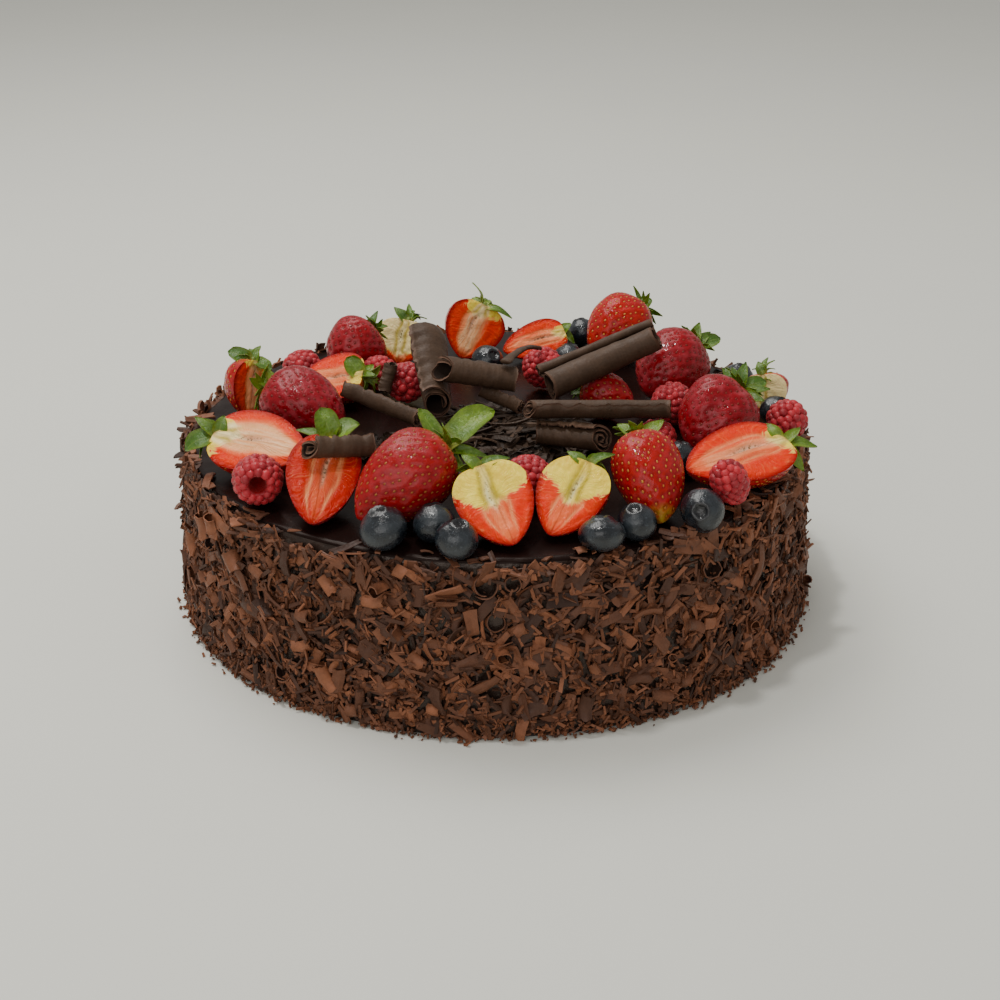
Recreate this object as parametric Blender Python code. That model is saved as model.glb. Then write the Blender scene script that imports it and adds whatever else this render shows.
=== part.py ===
"""Black forest cake with a ring of berries and a heap of chocolate curls.

A round chocolate cake stands on its flat underside. Chocolate flakes cover its side, strawberries,
raspberries and blueberries lie in a ring on its top, and curls of rolled chocolate are heaped inside
the ring. The origin is the middle of the underside, +Z is up and the front of the cake faces -Y.
"""

import math
import random
from collections import namedtuple

import bmesh
import bpy
from mathutils import Matrix, Vector
from mathutils.bvhtree import BVHTree

MM = 0.001

# The cake, in metres.
CAKE_HEIGHT = 65 * MM
CAKE_TOP_RADIUS = 115.5 * MM
CAKE_FOOT_RADIUS = 118.5 * MM
RIM_ROUNDING = 3 * MM
CAKE_SEGMENTS = 60
SIDE_BUMP = 0.5 * MM

# The chocolate flakes on the side.
FLAKE_COUNT = 116
FLAKE_LENGTH = (9 * MM, 16 * MM)
FLAKE_WIDTH = (3.5 * MM, 6.5 * MM)
FLAKE_TILT = (0.25, 0.7)
FLAKE_THICKNESS = 0.9 * MM
FLAKE_HOLD = 1.5 * MM
FLAKE_LOWEST = 5 * MM
FLAKE_HIGHEST = 61 * MM
FLAKE_SEED = 11
GOLDEN_ANGLE = math.pi * (3 - math.sqrt(5))

# The low heap of shavings under the curls.
HEAP_RADIUS = 31 * MM
HEAP_HEIGHT = 8 * MM
HEAP_CENTRE = (2, -14)
HEAP_FLAKES = 12
HEAP_SEED = 5

# Every topping keeps this gap to what it rests on.
GAP = 0.35 * MM
COARSE_STEP = 1.0 * MM
FINE_STEP = 0.1 * MM
FURTHEST_SHIFT = 40 * MM

BERRY_SEGMENTS = 12
BERRY_WIDEST = 0.62
BERRY_RINGS = (0.05, 0.2, 0.42, 0.66, 0.87, 0.975)
CROWN_DIP = 0.05
LEAF_THICKNESS = 0.55 * MM
LEAF_ROOT = 2.0 * MM
LEAF_SETBACK = 2.4 * MM
LEAF_MIDDLE = 0.5

RASPBERRY_SEGMENTS = 12
RASPBERRY_PROFILE = (
    (0.45, 0.05),
    (0.80, 0.23),
    (0.98, 0.48),
    (0.96, 0.75),
    (0.72, 0.96),
    (0.42, 1.00),
    (0.28, 0.80),
)
RASPBERRY_BUMPED_RINGS = 5
DRUPELET_BUMP = 0.07
RASPBERRY_HOLE_FLOOR = 0.62

BLUEBERRY_SEGMENTS = 10
BLUEBERRY_PROFILE = (
    (0.70, -0.72),
    (1.00, -0.05),
    (0.78, 0.62),
    (0.36, 1.00),
    (0.20, 0.78),
)
BLUEBERRY_CROWN_RING = 3
BLUEBERRY_STAR = 0.07

CURL_THICKNESS = 1.0 * MM
CURL_STATIONS_PER_TURN = 9

# Tip, crown and centre are (x, y) from the cake's axis and the height above its top, in millimetres.
# A facing is the way a cut face looks, and a leaf is how far its tip is from the crown, then its width.
Strawberry = namedtuple("Strawberry", "name cut tip crown width facing leaves")
WHOLE = (0, 0, 1)
STRAWBERRIES = (
    Strawberry("strawberry_half_left", True, (-66, -57, 12.5), (-102, -42, 14.5), 27.5, (0.1, -0.6, 0.8),
               ((-13, -2, -4, 8), (2, 4, 7, 5), (-7, 7, 4, 5))),
    Strawberry("strawberry_half_front_left", True, (-61, -95.5, 4), (-56, -63, 23.5), 26.5, (0.1, -0.6, 0.8),
               ((-4, 6, 11, 8), (10, 4, 6, 8), (-13, 4, 4, 3.5))),
    Strawberry("strawberry_whole_front", False, (-46, -94, 5.5), (-16, -74, 23.5), 30, WHOLE,
               ((19, 12, 9, 10), (-9, 8, 12, 6), (9, -5, -7, 4))),
    Strawberry("strawberry_half_front_middle", True, (6.5, -110, 2.5), (-5.5, -86, 21.5), 27, (0, -0.7, 0.7),
               ((10, 6, 3, 4.5), (-7, 4, 4, 4))),
    Strawberry("strawberry_half_front_right", True, (18, -102.5, 3), (32, -81.5, 21.5), 25, (-0.1, -0.7, 0.7),
               ((-7, 4, 4, 3.5), (6, 5, 3, 3.5))),
    Strawberry("strawberry_whole_right", False, (56, -92, 3.5), (49.5, -63, 23.5), 25.5, WHOLE,
               ((9, 6, 5, 5), (-8, 6, 4, 5))),
    Strawberry("strawberry_half_right", True, (66, -71, 12), (105, -47, 14.5), 28.5, (-0.2, -0.5, 0.85),
               ((13, 2, -3, 4.5), (8, -5, -9, 4.5), (-6, 8, 5, 4))),
    Strawberry("strawberry_whole_right_back", False, (70.5, -35, 6.5), (90.5, -16, 21.5), 30, WHOLE,
               ((-5, 6, 9, 5), (4, 6, 11, 5), (12, 4, 4, 6), (10, -7, 0, 5))),
    Strawberry("strawberry_whole_back_right", False, (58, 17, 8), (79, 40, 19), 29, WHOLE,
               ((4, 5, 10, 5), (13, 4, 3, 6), (-8, 4, 6, 5))),
    Strawberry("strawberry_whole_back", False, (40, 67, 9), (61, 88, 19), 28, WHOLE,
               ((7, 3, 5, 7), (-9, 4, 7, 4), (7, 5, -3, 5))),
    Strawberry("strawberry_half_back_middle", True, (3, 72, 4), (30, 81, 10), 18, (-0.2, -0.8, 0.6),
               ((6, -1, -4, 5), (4, 3, 4, 4))),
    Strawberry("strawberry_half_back_left", True, (-15, 76, 2), (-4, 84, 23.5), 26, (0.3, -0.9, 0.3),
               ((13, -2, -4, 3), (-5, 5, 3, 4))),
    Strawberry("strawberry_half_pale_left", True, (-41, 70, 2), (-37, 76, 20), 24, (-0.3, -0.9, 0.3),
               ((-6, 3, 6, 4), (5, 5, 2, 4))),
    Strawberry("strawberry_whole_back_left", False, (-66, 48, 8), (-50, 63, 18), 26.5, WHOLE,
               ((3, 5, 9, 3.5), (-8, 3, 5, 5), (7, 5, 3, 4))),
    Strawberry("strawberry_half_left_back", True, (-77, 28, 9), (-51, 23, 13), 24, (-0.1, -0.5, 0.9),
               ((-6, 4, 7, 7), (6, -3, 2, 4))),
    Strawberry("strawberry_half_far_left", True, (-96, 9, 2), (-92, 16, 24), 24, (0.85, -0.5, 0.1),
               ((-10, 1, 4, 6), (8, -2, -2, 6))),
    Strawberry("strawberry_whole_left", False, (-56, -20, 9), (-86, -5, 17.5), 28, WHOLE,
               ((-2, 4, 8, 5), (-8, 3, 5, 5))),
    Strawberry("strawberry_half_pale_right", True, (106, 13, 3), (103, 16, 19), 20, (-0.4, -0.9, 0.1),
               ((6, -3, -2, 4), (-2, 4, 5, 4))),
    Strawberry("strawberry_whole_inner", False, (53, 3, 7), (34, 14, 11), 19, WHOLE,
               ((-7, 4, 2, 4), (-7, -3, -1, 4))),
)

# The tip and the mouth of the hollow set a raspberry's length and lean.
Raspberry = namedtuple("Raspberry", "name tip mouth width")
RASPBERRIES = (
    Raspberry("raspberry_left", (-83, -62, 8.5), (-81, -79, 9.5), 18),
    Raspberry("raspberry_front_middle", (10, -80, 14), (12, -65, 8), 18),
    Raspberry("raspberry_right_front", (83, -78.5, 1), (77, -82.5, 15), 14.5),
    Raspberry("raspberry_right_inner", (56, -38, 9), (61, -26, 8), 15),
    Raspberry("raspberry_right_middle", (63, -6, 10), (71, 7, 9), 17),
    Raspberry("raspberry_far_right", (107, -21, 9), (110, -8, 8), 16),
    Raspberry("raspberry_back_middle", (14, 35, 10), (23, 47, 9), 17),
    Raspberry("raspberry_left_rim", (-83, 35, 8.5), (-73, 46, 9), 16),
    Raspberry("raspberry_inner_left", (-51, 44, 9), (-43, 33, 9), 15),
    Raspberry("raspberry_inner_back", (-31, 33, 10), (-38, 20, 9), 16.5),
)

# The crown says which way the star looks.
Blueberry = namedtuple("Blueberry", "name centre width squat crown")
BLUEBERRIES = (
    Blueberry("blueberry_front_1", (-36.5, -105.5, 7), 16.0, 0.88, (-0.3, -0.1, 1)),
    Blueberry("blueberry_front_2", (-20, -101, 7), 14.4, 0.92, (-0.2, 0.3, 1)),
    Blueberry("blueberry_front_3", (-12.3, -112.7, 7), 14.2, 0.92, (0.2, -0.2, 1)),
    Blueberry("blueberry_front_4", (35, -108, 6), 16.0, 0.72, (0, 0.4, 1)),
    Blueberry("blueberry_front_5", (47, -99, 7), 13.4, 0.94, (-0.2, -0.3, 1)),
    Blueberry("blueberry_right", (69.5, -91, 7.7), 15, 0.95, (-0.2, -0.9, 0.35)),
    Blueberry("blueberry_right_inner", (66, -46, 7), 13.2, 0.95, (0.2, 0.2, 1)),
    Blueberry("blueberry_far_right", (107, 1.5, 7), 12.6, 0.9, (0.4, -0.3, 0.8)),
    Blueberry("blueberry_back_inner", (-3.5, 57, 7), 13.5, 0.88, (0.5, -0.6, 0.7)),
    Blueberry("blueberry_back_1", (30, 60, 6.5), 13.6, 0.9, (0.1, 0.3, 1)),
    Blueberry("blueberry_back_2", (37, 96, 6.5), 12.5, 0.9, (-0.3, 0.2, 1)),
    Blueberry("blueberry_behind_1", (80, 63, 7), 14.0, 0.9, (0.4, 0.5, 0.8)),
    Blueberry("blueberry_behind_2", (97, 37, 6.5), 13.2, 0.9, (0.3, 0.1, 0.9)),
    Blueberry("blueberry_behind_3", (-10, 102, 7), 14.4, 0.88, (0.1, 0.5, 0.9)),
    Blueberry("blueberry_behind_4", (-57, 84, 7), 14.0, 0.9, (-0.3, 0.4, 0.9)),
)

# Each curl runs between its two ends. A second roll makes it a double scroll.
Curl = namedtuple("Curl", "name start end width end_width turns second_roll")
CURLS = (
    Curl("curl_leaning_wide", (-20, -7, 11.5), (-26, 27.5, 32), 12.5, 19, 1.5, 0),
    Curl("curl_upright_short", (-43.5, 16, 8), (-40, 22, 20), 6, 6, 1.3, 0),
    Curl("curl_left_long", (-57.5, -13, 22), (-27, -31, 16), 7.2, 7.2, 1.6, 0),
    Curl("curl_under", (-7, 4, 17), (11, -7.5, 13), 6.8, 6.8, 1.4, 0),
    Curl("curl_lower_spiral", (43.5, -37, 12), (14, -29, 12), 11, 10, 2.6, 0),
    Curl("curl_open_end", (-24.5, -4, 30), (9, 1, 23), 10, 10, 1.3, 0),
    Curl("curl_double_long", (17, 0, 15), (62, 13, 31.5), 13, 11, 1.5, 5),
    Curl("curl_long_right", (9, -31, 22), (65, -31, 22), 8.2, 8.0, 2.0, 0),
    Curl("curl_front_left", (-66, -77.5, 25), (-40.5, -68, 22), 8.2, 8.2, 1.8, 0),
)

# Broken slabs: the middle, the length, the width and the turn in degrees.
Bark = namedtuple("Bark", "name centre length width turn")
BARKS = (
    Bark("bark_crumpled", (5, -48, 8), 27, 14, -14),
    Bark("bark_left", (-43, -24, 6), 20, 13, 35),
)
SPLINTER_START = (4, -3, 29)
SPLINTER_END = (18, 39, 19.5)

COLOURS = {
    "ganache_cake": ((0.050, 0.024, 0.016), 0.45),
    "flakes": ((0.075, 0.036, 0.022), 0.6),
    "strawberry_skin": ((0.50, 0.025, 0.018), 0.25),
    "strawberry_flesh": ((0.75, 0.18, 0.09), 0.35),
    "raspberry_skin": ((0.36, 0.022, 0.040), 0.35),
    "blueberry_skin": ((0.018, 0.024, 0.040), 0.4),
    "rolled_chocolate": ((0.050, 0.030, 0.022), 0.5),
}


def clear_scene():
    for old in list(bpy.data.objects):
        bpy.data.objects.remove(old)


def make_material(name):
    colour, roughness = COLOURS[name]
    material = bpy.data.materials.new(name)
    material.use_nodes = True
    shader = material.node_tree.nodes["Principled BSDF"]
    shader.inputs["Base Color"].default_value = (*colour, 1)
    shader.inputs["Roughness"].default_value = roughness
    shader.inputs["Metallic"].default_value = 0
    return material


def material(name):
    return bpy.data.materials.get(name) or make_material(name)


def make_object(name, points, faces, material_name):
    """A mesh object whose faces all point out."""
    mesh = bpy.data.meshes.new(name)
    mesh.from_pydata([tuple(p) for p in points], [], faces)
    shell = bmesh.new()
    shell.from_mesh(mesh)
    bmesh.ops.recalc_face_normals(shell, faces=shell.faces)
    shell.to_mesh(mesh)
    shell.free()
    mesh.materials.append(material(material_name))
    body = bpy.data.objects.new(name, mesh)
    bpy.context.scene.collection.objects.link(body)
    return body


def skin(rings, first_pole, last_pole, low_first=False):
    """Points and faces of a closed skin over rings of equal size, with a pole at each end.

    Where low_first is set, every quad is split between its two low corners, so that each high
    corner of a chequered skin stands up as a bump.
    """
    count = len(rings[0])
    points = [p for ring in rings for p in ring] + [first_pole, last_pole]
    first, last = len(points) - 2, len(points) - 1
    faces = []
    for k in range(len(rings) - 1):
        for j in range(count):
            a, b = k * count + j, k * count + (j + 1) % count
            c, d = b + count, a + count
            if not low_first:
                faces.append((a, b, c, d))
            elif (k + j) % 2:
                faces += [(a, b, c), (a, c, d)]
            else:
                faces += [(a, b, d), (b, c, d)]
    top = (len(rings) - 1) * count
    for j in range(count):
        after = (j + 1) % count
        faces.append((first, after, j))
        faces.append((last, top + j, top + after))
    return points, faces


def ring_of(radius, height, count, turned=0.0):
    return [
        Vector((radius * math.cos(a), radius * math.sin(a), height))
        for a in (2 * math.pi * (j + turned) / count for j in range(count))
    ]


def fuse(body, pieces):
    """Joins the pieces to the body with one Boolean union, and removes them."""
    if not pieces:
        return
    added = bpy.data.collections.new(body.name + "_pieces")
    bpy.context.scene.collection.children.link(added)
    for piece in pieces:
        bpy.context.scene.collection.objects.unlink(piece)
        added.objects.link(piece)
    union = body.modifiers.new("union", "BOOLEAN")
    union.operation = "UNION"
    union.operand_type = "COLLECTION"
    union.collection = added
    union.solver = "EXACT"
    bpy.context.view_layer.update()
    joined = bpy.data.meshes.new_from_object(body.evaluated_get(bpy.context.evaluated_depsgraph_get()))
    body.modifiers.remove(union)
    body.data = joined
    for piece in pieces:
        bpy.data.objects.remove(piece)
    bpy.data.collections.remove(added)
    tidy_mesh(joined)


def tidy_mesh(mesh):
    """Welds slivers that the union leaves."""
    shell = bmesh.new()
    shell.from_mesh(mesh)
    bmesh.ops.remove_doubles(shell, verts=shell.verts, dist=0.02 * MM)
    bmesh.ops.dissolve_degenerate(shell, edges=shell.edges, dist=0.02 * MM)
    bmesh.ops.triangulate(shell, faces=shell.faces)
    shell.to_mesh(mesh)
    shell.free()


def smooth(body, angle=40):
    body.data.shade_smooth()
    body.data.set_sharp_from_angle(angle=math.radians(angle))


def frame_between(start, end, facing=(0, 0, 1)):
    """A placement with +Z from start to end and +Y as near as it can be to facing."""
    z = (Vector(end) - Vector(start)).normalized()
    y = Vector(facing) - z * Vector(facing).dot(z)
    if y.length < 0.05:
        y = Vector((0, -1, 0)) - z * Vector((0, -1, 0)).dot(z)
    y.normalize()
    x = y.cross(z)
    turn = Matrix((x, y, z)).transposed().to_4x4()
    return Matrix.Translation(start) @ turn


def above_top(point):
    """A table's place in metres, from the cake's origin."""
    x, y, height = point
    return Vector((x * MM, y * MM, height * MM + CAKE_HEIGHT))


def flake(name, length, width, bend, material_name="flakes"):
    """A shaving: a thin slab whose middle is bent up from its two ends."""
    stations = (0,) if bend == 0 else (-0.02, 0.02)
    half = length / 2
    spots = [-1, *stations, 1] if bend else [-1, 1]
    rings = []
    for s in spots:
        rise = bend * (1 - s * s)
        narrow = width * (0.5 - 0.14 * abs(s))
        rings.append([
            Vector((s * half, -narrow, rise)),
            Vector((s * half, narrow, rise)),
            Vector((s * half, narrow, rise + FLAKE_THICKNESS)),
            Vector((s * half, -narrow, rise + FLAKE_THICKNESS)),
        ])
    if bend:
        rings = [rings[0], rings[1], rings[3]]
    points = [p for ring in rings for p in ring]
    faces = [(0, 1, 2, 3), tuple(reversed(range(len(points) - 4, len(points))))]
    for k in range(len(rings) - 1):
        for j in range(4):
            a, b = 4 * k + j, 4 * k + (j + 1) % 4
            faces.append((a, b, b + 4, a + 4))
    return make_object(name, points, faces, material_name)


def side_radius(height):
    return CAKE_FOOT_RADIUS + (CAKE_TOP_RADIUS - CAKE_FOOT_RADIUS) * height / CAKE_HEIGHT


def cake_core(rng):
    """The turned cake: a bumpy side, a rounded rim, a flat top and a flat underside."""
    rings = [ring_of(CAKE_FOOT_RADIUS, 0, CAKE_SEGMENTS)]
    for share in (0.25, 0.5, 0.75):
        height = share * (CAKE_HEIGHT - RIM_ROUNDING)
        ring = ring_of(1.0, height, CAKE_SEGMENTS, turned=0.5 if share == 0.5 else 0.0)
        for point in ring:
            reach = side_radius(height) + rng.uniform(-SIDE_BUMP, SIDE_BUMP)
            point.x *= reach
            point.y *= reach
        rings.append(ring)
    edge = CAKE_TOP_RADIUS - RIM_ROUNDING
    for angle in (0, 45, 90):
        a = math.radians(angle)
        rings.append(ring_of(
            edge + RIM_ROUNDING * math.cos(a),
            CAKE_HEIGHT - RIM_ROUNDING * (1 - math.sin(a)),
            CAKE_SEGMENTS,
        ))
    points, faces = skin(rings, Vector((0, 0, 0)), Vector((0, 0, CAKE_HEIGHT)))
    return make_object("cake", points, faces, "ganache_cake")


def make_cake():
    """The cake with its largest flakes fused to the side, spread evenly by the golden angle."""
    rng = random.Random(FLAKE_SEED)
    cake = cake_core(rng)
    flakes = []
    for i in range(FLAKE_COUNT):
        share = (i + 0.5) / FLAKE_COUNT
        height = FLAKE_LOWEST + (FLAKE_HIGHEST - FLAKE_LOWEST) * share
        round_angle = i * GOLDEN_ANGLE + rng.uniform(-0.08, 0.08)
        length, width = rng.uniform(*FLAKE_LENGTH), rng.uniform(*FLAKE_WIDTH)
        bend = rng.choice((0, 0, 1.2 * MM))
        piece = flake(f"flake_{i}", length, width, bend)
        spin = rng.uniform(-1.5, 1.5)
        tilt = rng.uniform(*FLAKE_TILT) * rng.choice((-1, 1))
        lean = rng.uniform(-0.06, 0.06)
        out = side_radius(height) + width / 2 * math.sin(abs(tilt)) - FLAKE_HOLD
        wall = Matrix.Rotation(round_angle, 4, "Z") @ Matrix.Translation((out, 0, height))
        upright = Matrix.Rotation(math.pi / 2, 4, "Y")
        piece.matrix_world = (
            wall @ upright @ Matrix.Rotation(spin, 4, "Z") @ Matrix.Rotation(tilt, 4, "X")
            @ Matrix.Rotation(lean, 4, "Y")
        )
        flakes.append(piece)
    for piece in flakes:
        keep_off_floor(piece)
    fuse(cake, flakes)
    return cake


def keep_off_floor(piece):
    """Lifts a flake that would reach under the cake."""
    lowest = min((piece.matrix_world @ v.co).z for v in piece.data.vertices)
    if lowest < 0.5 * MM:
        piece.matrix_world = Matrix.Translation((0, 0, 0.5 * MM - lowest)) @ piece.matrix_world


def make_heap():
    """Shavings that lie in the middle, as a low mound with loose ones fused on."""
    rng = random.Random(HEAP_SEED)
    count = 14
    foot = CAKE_HEIGHT + GAP
    rings = []
    for reach, rise in ((1.0, 0.0), (0.93, 0.28), (0.72, 0.72), (0.4, 0.95)):
        ring = ring_of(1.0, foot + rise * HEAP_HEIGHT, count)
        for point in ring:
            radius = HEAP_RADIUS * reach * (1 + rng.uniform(-0.07, 0.07))
            point.x = point.x * radius + HEAP_CENTRE[0] * MM
            point.y = point.y * radius + HEAP_CENTRE[1] * MM
        rings.append(ring)
    middle = Vector((HEAP_CENTRE[0] * MM, HEAP_CENTRE[1] * MM, foot))
    points, faces = skin(rings, middle, middle + Vector((0, 0, HEAP_HEIGHT)))
    heap = make_object("shavings_heap", points, faces, "rolled_chocolate")
    pieces = []
    for i in range(HEAP_FLAKES):
        angle = i * GOLDEN_ANGLE
        reach = HEAP_RADIUS * 0.85 * math.sqrt((i + 0.5) / HEAP_FLAKES)
        piece = flake(f"heap_flake_{i}", rng.uniform(9, 15) * MM, rng.uniform(3.5, 5.5) * MM, 0,
                      "rolled_chocolate")
        rise = HEAP_HEIGHT * (1 - (reach / HEAP_RADIUS) ** 2) * 0.9
        place = middle + Vector((reach * math.cos(angle), reach * math.sin(angle), rise + 0.6 * MM))
        piece.matrix_world = (
            Matrix.Translation(place) @ Matrix.Rotation(rng.uniform(0, 3), 4, "Z")
            @ Matrix.Rotation(rng.uniform(-0.3, 0.3), 4, "X") @ Matrix.Rotation(rng.uniform(-0.2, 0.2), 4, "Y")
        )
        pieces.append(piece)
    fuse(heap, pieces)
    return heap


def berry_reach(u):
    """A strawberry's radius, as a share of its greatest, at u of the way from tip to crown."""
    if u < BERRY_WIDEST:
        s = u / BERRY_WIDEST
        return (1 - (1 - s) ** 2) ** 0.72
    s = (u - BERRY_WIDEST) / (1 - BERRY_WIDEST)
    return max(0.0, 1 - s ** 2.3) ** 0.5


def make_strawberry(berry):
    """A strawberry, whole or cut through its axis, with no leaves yet."""
    tip, crown = above_top(berry.tip), above_top(berry.crown)
    length = (crown - tip).length
    rings = [
        ring_of(berry.width / 2 * MM * berry_reach(u), u * length, BERRY_SEGMENTS)
        for u in BERRY_RINGS
    ]
    dip = Vector((0, 0, length * (1 - CROWN_DIP)))
    points, faces = skin(rings, Vector((0, 0, 0)), dip)
    body = make_object(berry.name, points, faces, "strawberry_skin")
    if berry.cut:
        cut_in_half(body)
    body.matrix_world = frame_between(tip, crown, berry.facing)
    return body


def cut_in_half(body):
    """Takes away the +Y half and closes the cut face."""
    shell = bmesh.new()
    shell.from_mesh(body.data)
    everything = shell.verts[:] + shell.edges[:] + shell.faces[:]
    bmesh.ops.bisect_plane(
        shell, geom=everything, dist=0.01 * MM, plane_co=(0, 0, 0), plane_no=(0, 1, 0), clear_outer=True
    )
    rim = [e for e in shell.edges if e.is_boundary]
    made = bmesh.ops.edgeloop_fill(shell, edges=rim)
    for face in made["faces"]:
        face.material_index = 1
    bmesh.ops.recalc_face_normals(shell, faces=shell.faces)
    shell.to_mesh(body.data)
    shell.free()
    body.data.materials.append(material("strawberry_flesh"))


def make_leaf(name, root, reach, width, axis):
    """A sepal from root to root + reach: a thin blade, arched, with a raised middle vein."""
    along = reach.normalized()
    out = axis - along * axis.dot(along)
    out = out.normalized() if out.length > 0.1 else along.orthogonal().normalized()
    across = along.cross(out)
    arch = 0.16 * reach.length

    def spot(s, side, wide):
        place = root + reach * s + out * arch * math.sin(math.pi * s)
        return place + across * side * wide * width / 2 - out * abs(side) * 0.2 * width * wide

    lower = [spot(0, -1, 0.4), spot(0, 1, 0.4)]
    lower += [spot(LEAF_MIDDLE, side, 1) for side in (-1, 0, 1)]
    lower.append(spot(1, 0, 0))
    upper = [p + out * LEAF_THICKNESS for p in lower]
    blade = [(0, 1, 3), (0, 3, 2), (1, 4, 3), (2, 3, 5), (3, 4, 5)]
    outline = (0, 2, 5, 4, 1)
    count = len(lower)
    faces = [tuple(reversed(f)) for f in blade] + [tuple(i + count for i in f) for f in blade]
    for a, b in zip(outline, outline[1:] + outline[:1]):
        faces += [(a, b, b + count), (a, b + count, a + count)]
    return make_object(name, lower + upper, faces, "strawberry_skin")


def add_leaves(body, berry, table):
    """Grows the sepals from the crown of a strawberry that has been set down, and fuses them.

    A sepal that would touch another piece is lifted, and left out where that isn't enough.
    """
    length = (above_top(berry.crown) - above_top(berry.tip)).length
    turn = body.matrix_world.to_3x3()
    axis = (turn @ Vector((0, 0, 1))).normalized()
    crown = body.matrix_world @ Vector((0, 0, length * (1 - CROWN_DIP)))
    if berry.cut:
        crown += turn @ Vector((0, -LEAF_SETBACK, 0))
    leaves = []
    for i, (x, y, z, width) in enumerate(berry.leaves):
        for lift in (0, 2, 4):
            reach = Vector((x, y, z + lift)) * MM + axis * LEAF_ROOT
            leaf = make_leaf(f"{berry.name}_leaf_{i}", crown - axis * LEAF_ROOT, reach, width * MM, axis)
            if not table.touches(*world_shell(leaf, GAP), 0, apart_from=body.name):
                leaves.append(leaf)
                break
            bpy.data.objects.remove(leaf)
    for leaf in leaves:
        leaf.data.transform(body.matrix_world.inverted())
        leaf.matrix_world = body.matrix_world.copy()
    fuse(body, leaves)
    table.replace(body)


def make_raspberry(berry):
    """A raspberry with a bumpy skin and the hollow that its stalk leaves."""
    tip, mouth = above_top(berry.tip), above_top(berry.mouth)
    length = (mouth - tip).length
    rings = []
    for k, (reach, share) in enumerate(RASPBERRY_PROFILE):
        ring = []
        for j, point in enumerate(ring_of(1.0, share * length, RASPBERRY_SEGMENTS)):
            bump = 0.0
            if k < RASPBERRY_BUMPED_RINGS:
                bump = DRUPELET_BUMP * (-1) ** (k + j + 1)
            radius = berry.width / 2 * MM * (reach + bump)
            ring.append(Vector((point.x * radius, point.y * radius, point.z)))
        rings.append(ring)
    points, faces = skin(
        rings, Vector((0, 0, 0)), Vector((0, 0, length * RASPBERRY_HOLE_FLOOR)), low_first=True
    )
    body = make_object(berry.name, points, faces, "raspberry_skin")
    body.matrix_world = frame_between(tip, mouth)
    return body


def make_blueberry(berry):
    """A squat ball with a five-pointed crown."""
    radius = berry.width / 2 * MM
    rings = []
    for k, (reach, height) in enumerate(BLUEBERRY_PROFILE):
        ring = ring_of(radius * reach, radius * berry.squat * height, BLUEBERRY_SEGMENTS)
        if k == BLUEBERRY_CROWN_RING:
            for j, point in enumerate(ring):
                grown = 1 + BLUEBERRY_STAR / reach * (1 if j % 2 else -1)
                point.x *= grown
                point.y *= grown
        rings.append(ring)
    low = Vector((0, 0, -radius * berry.squat * 0.94))
    middle = Vector((0, 0, radius * berry.squat * 0.78))
    points, faces = skin(rings, low, middle)
    body = make_object(berry.name, points, faces, "blueberry_skin")
    centre = above_top(berry.centre)
    body.matrix_world = frame_between(centre, centre + Vector(berry.crown))
    return body


def spiral(radius, turns, start=0.0, handed=1):
    """The middle line of a rolled sheet, from its outer edge inwards."""
    count = max(6, round(turns * CURL_STATIONS_PER_TURN))
    closest = max(0.9 * MM, radius - turns * 1.75 * MM)
    line = []
    for k in range(count + 1):
        share = k / count
        angle = start + handed * 2 * math.pi * turns * share
        reach = radius + (closest - radius) * share
        line.append(Vector((reach * math.cos(angle), reach * math.sin(angle), 0)))
    return line


def roll_section(curl):
    """The line that a curl's section follows: one spiral, or two that a flat web joins."""
    radius = curl.width / 2 * MM - CURL_THICKNESS / 2
    if not curl.second_roll:
        return spiral(radius, curl.turns)
    small = curl.second_roll / 2 * MM - CURL_THICKNESS / 2
    centre = Vector((radius + small + 1.2 * MM, small - radius, 0))
    second = [centre + p for p in spiral(small, 1.1, start=-math.pi / 2)]
    first = spiral(radius, curl.turns, start=-math.pi / 2, handed=-1)
    return list(reversed(first)) + second


def make_curl(curl):
    """A rolled sheet of chocolate with uneven ends."""
    rng = random.Random(curl.name)
    start, end = above_top(curl.start), above_top(curl.end)
    length = (end - start).length
    line = roll_section(curl)
    count = len(line)
    sides = []
    for k in range(count):
        ahead = (line[min(k + 1, count - 1)] - line[max(k - 1, 0)]).normalized()
        sides.append(Vector((-ahead.y, ahead.x, 0)) * CURL_THICKNESS / 2)
    widen = curl.end_width / curl.width
    rings = []
    for k in range(count):
        ragged = [rng.uniform(0, 1.6 * MM), rng.uniform(0, 1.6 * MM)]
        ring = []
        for z, grown in ((ragged[0], 1.0), (length - ragged[1], widen)):
            middle = line[k] * grown
            ring += [middle + sides[k] + Vector((0, 0, z)), middle - sides[k] + Vector((0, 0, z))]
        rings.append(ring)
    points = [p for ring in rings for p in ring]
    faces = [(0, 1, 3, 2), (4 * count - 4, 4 * count - 2, 4 * count - 1, 4 * count - 3)]
    for k in range(count - 1):
        a = 4 * k
        for near, far in ((0, 1), (1, 3), (3, 2), (2, 0)):
            faces.append((a + near, a + far, a + 4 + far, a + 4 + near))
    body = make_object(curl.name, points, faces, "rolled_chocolate")
    body.matrix_world = frame_between(start, end)
    return body


def make_shard(name, start, end, width, bend):
    """A curved splinter of chocolate, thinner towards its end."""
    low, high = above_top(start), above_top(end)
    length = (high - low).length
    spots = (0, 0.35, 0.7, 1)
    rings = []
    for s in spots:
        wide = width / 2 * MM * (1 - 0.65 * s)
        rise = bend * MM * math.sin(math.pi * s)
        rings.append([Vector((wide, rise, s * length)), Vector((0, rise + 1.3 * MM, s * length)),
                      Vector((-wide, rise, s * length)), Vector((0, rise - 0.9 * MM, s * length))])
    points, faces = skin(rings, Vector((0, 0, -0.5 * MM)), Vector((0, 0, length + 0.6 * MM)))
    body = make_object(name, points, faces, "rolled_chocolate")
    body.matrix_world = frame_between(low, high)
    return body


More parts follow.
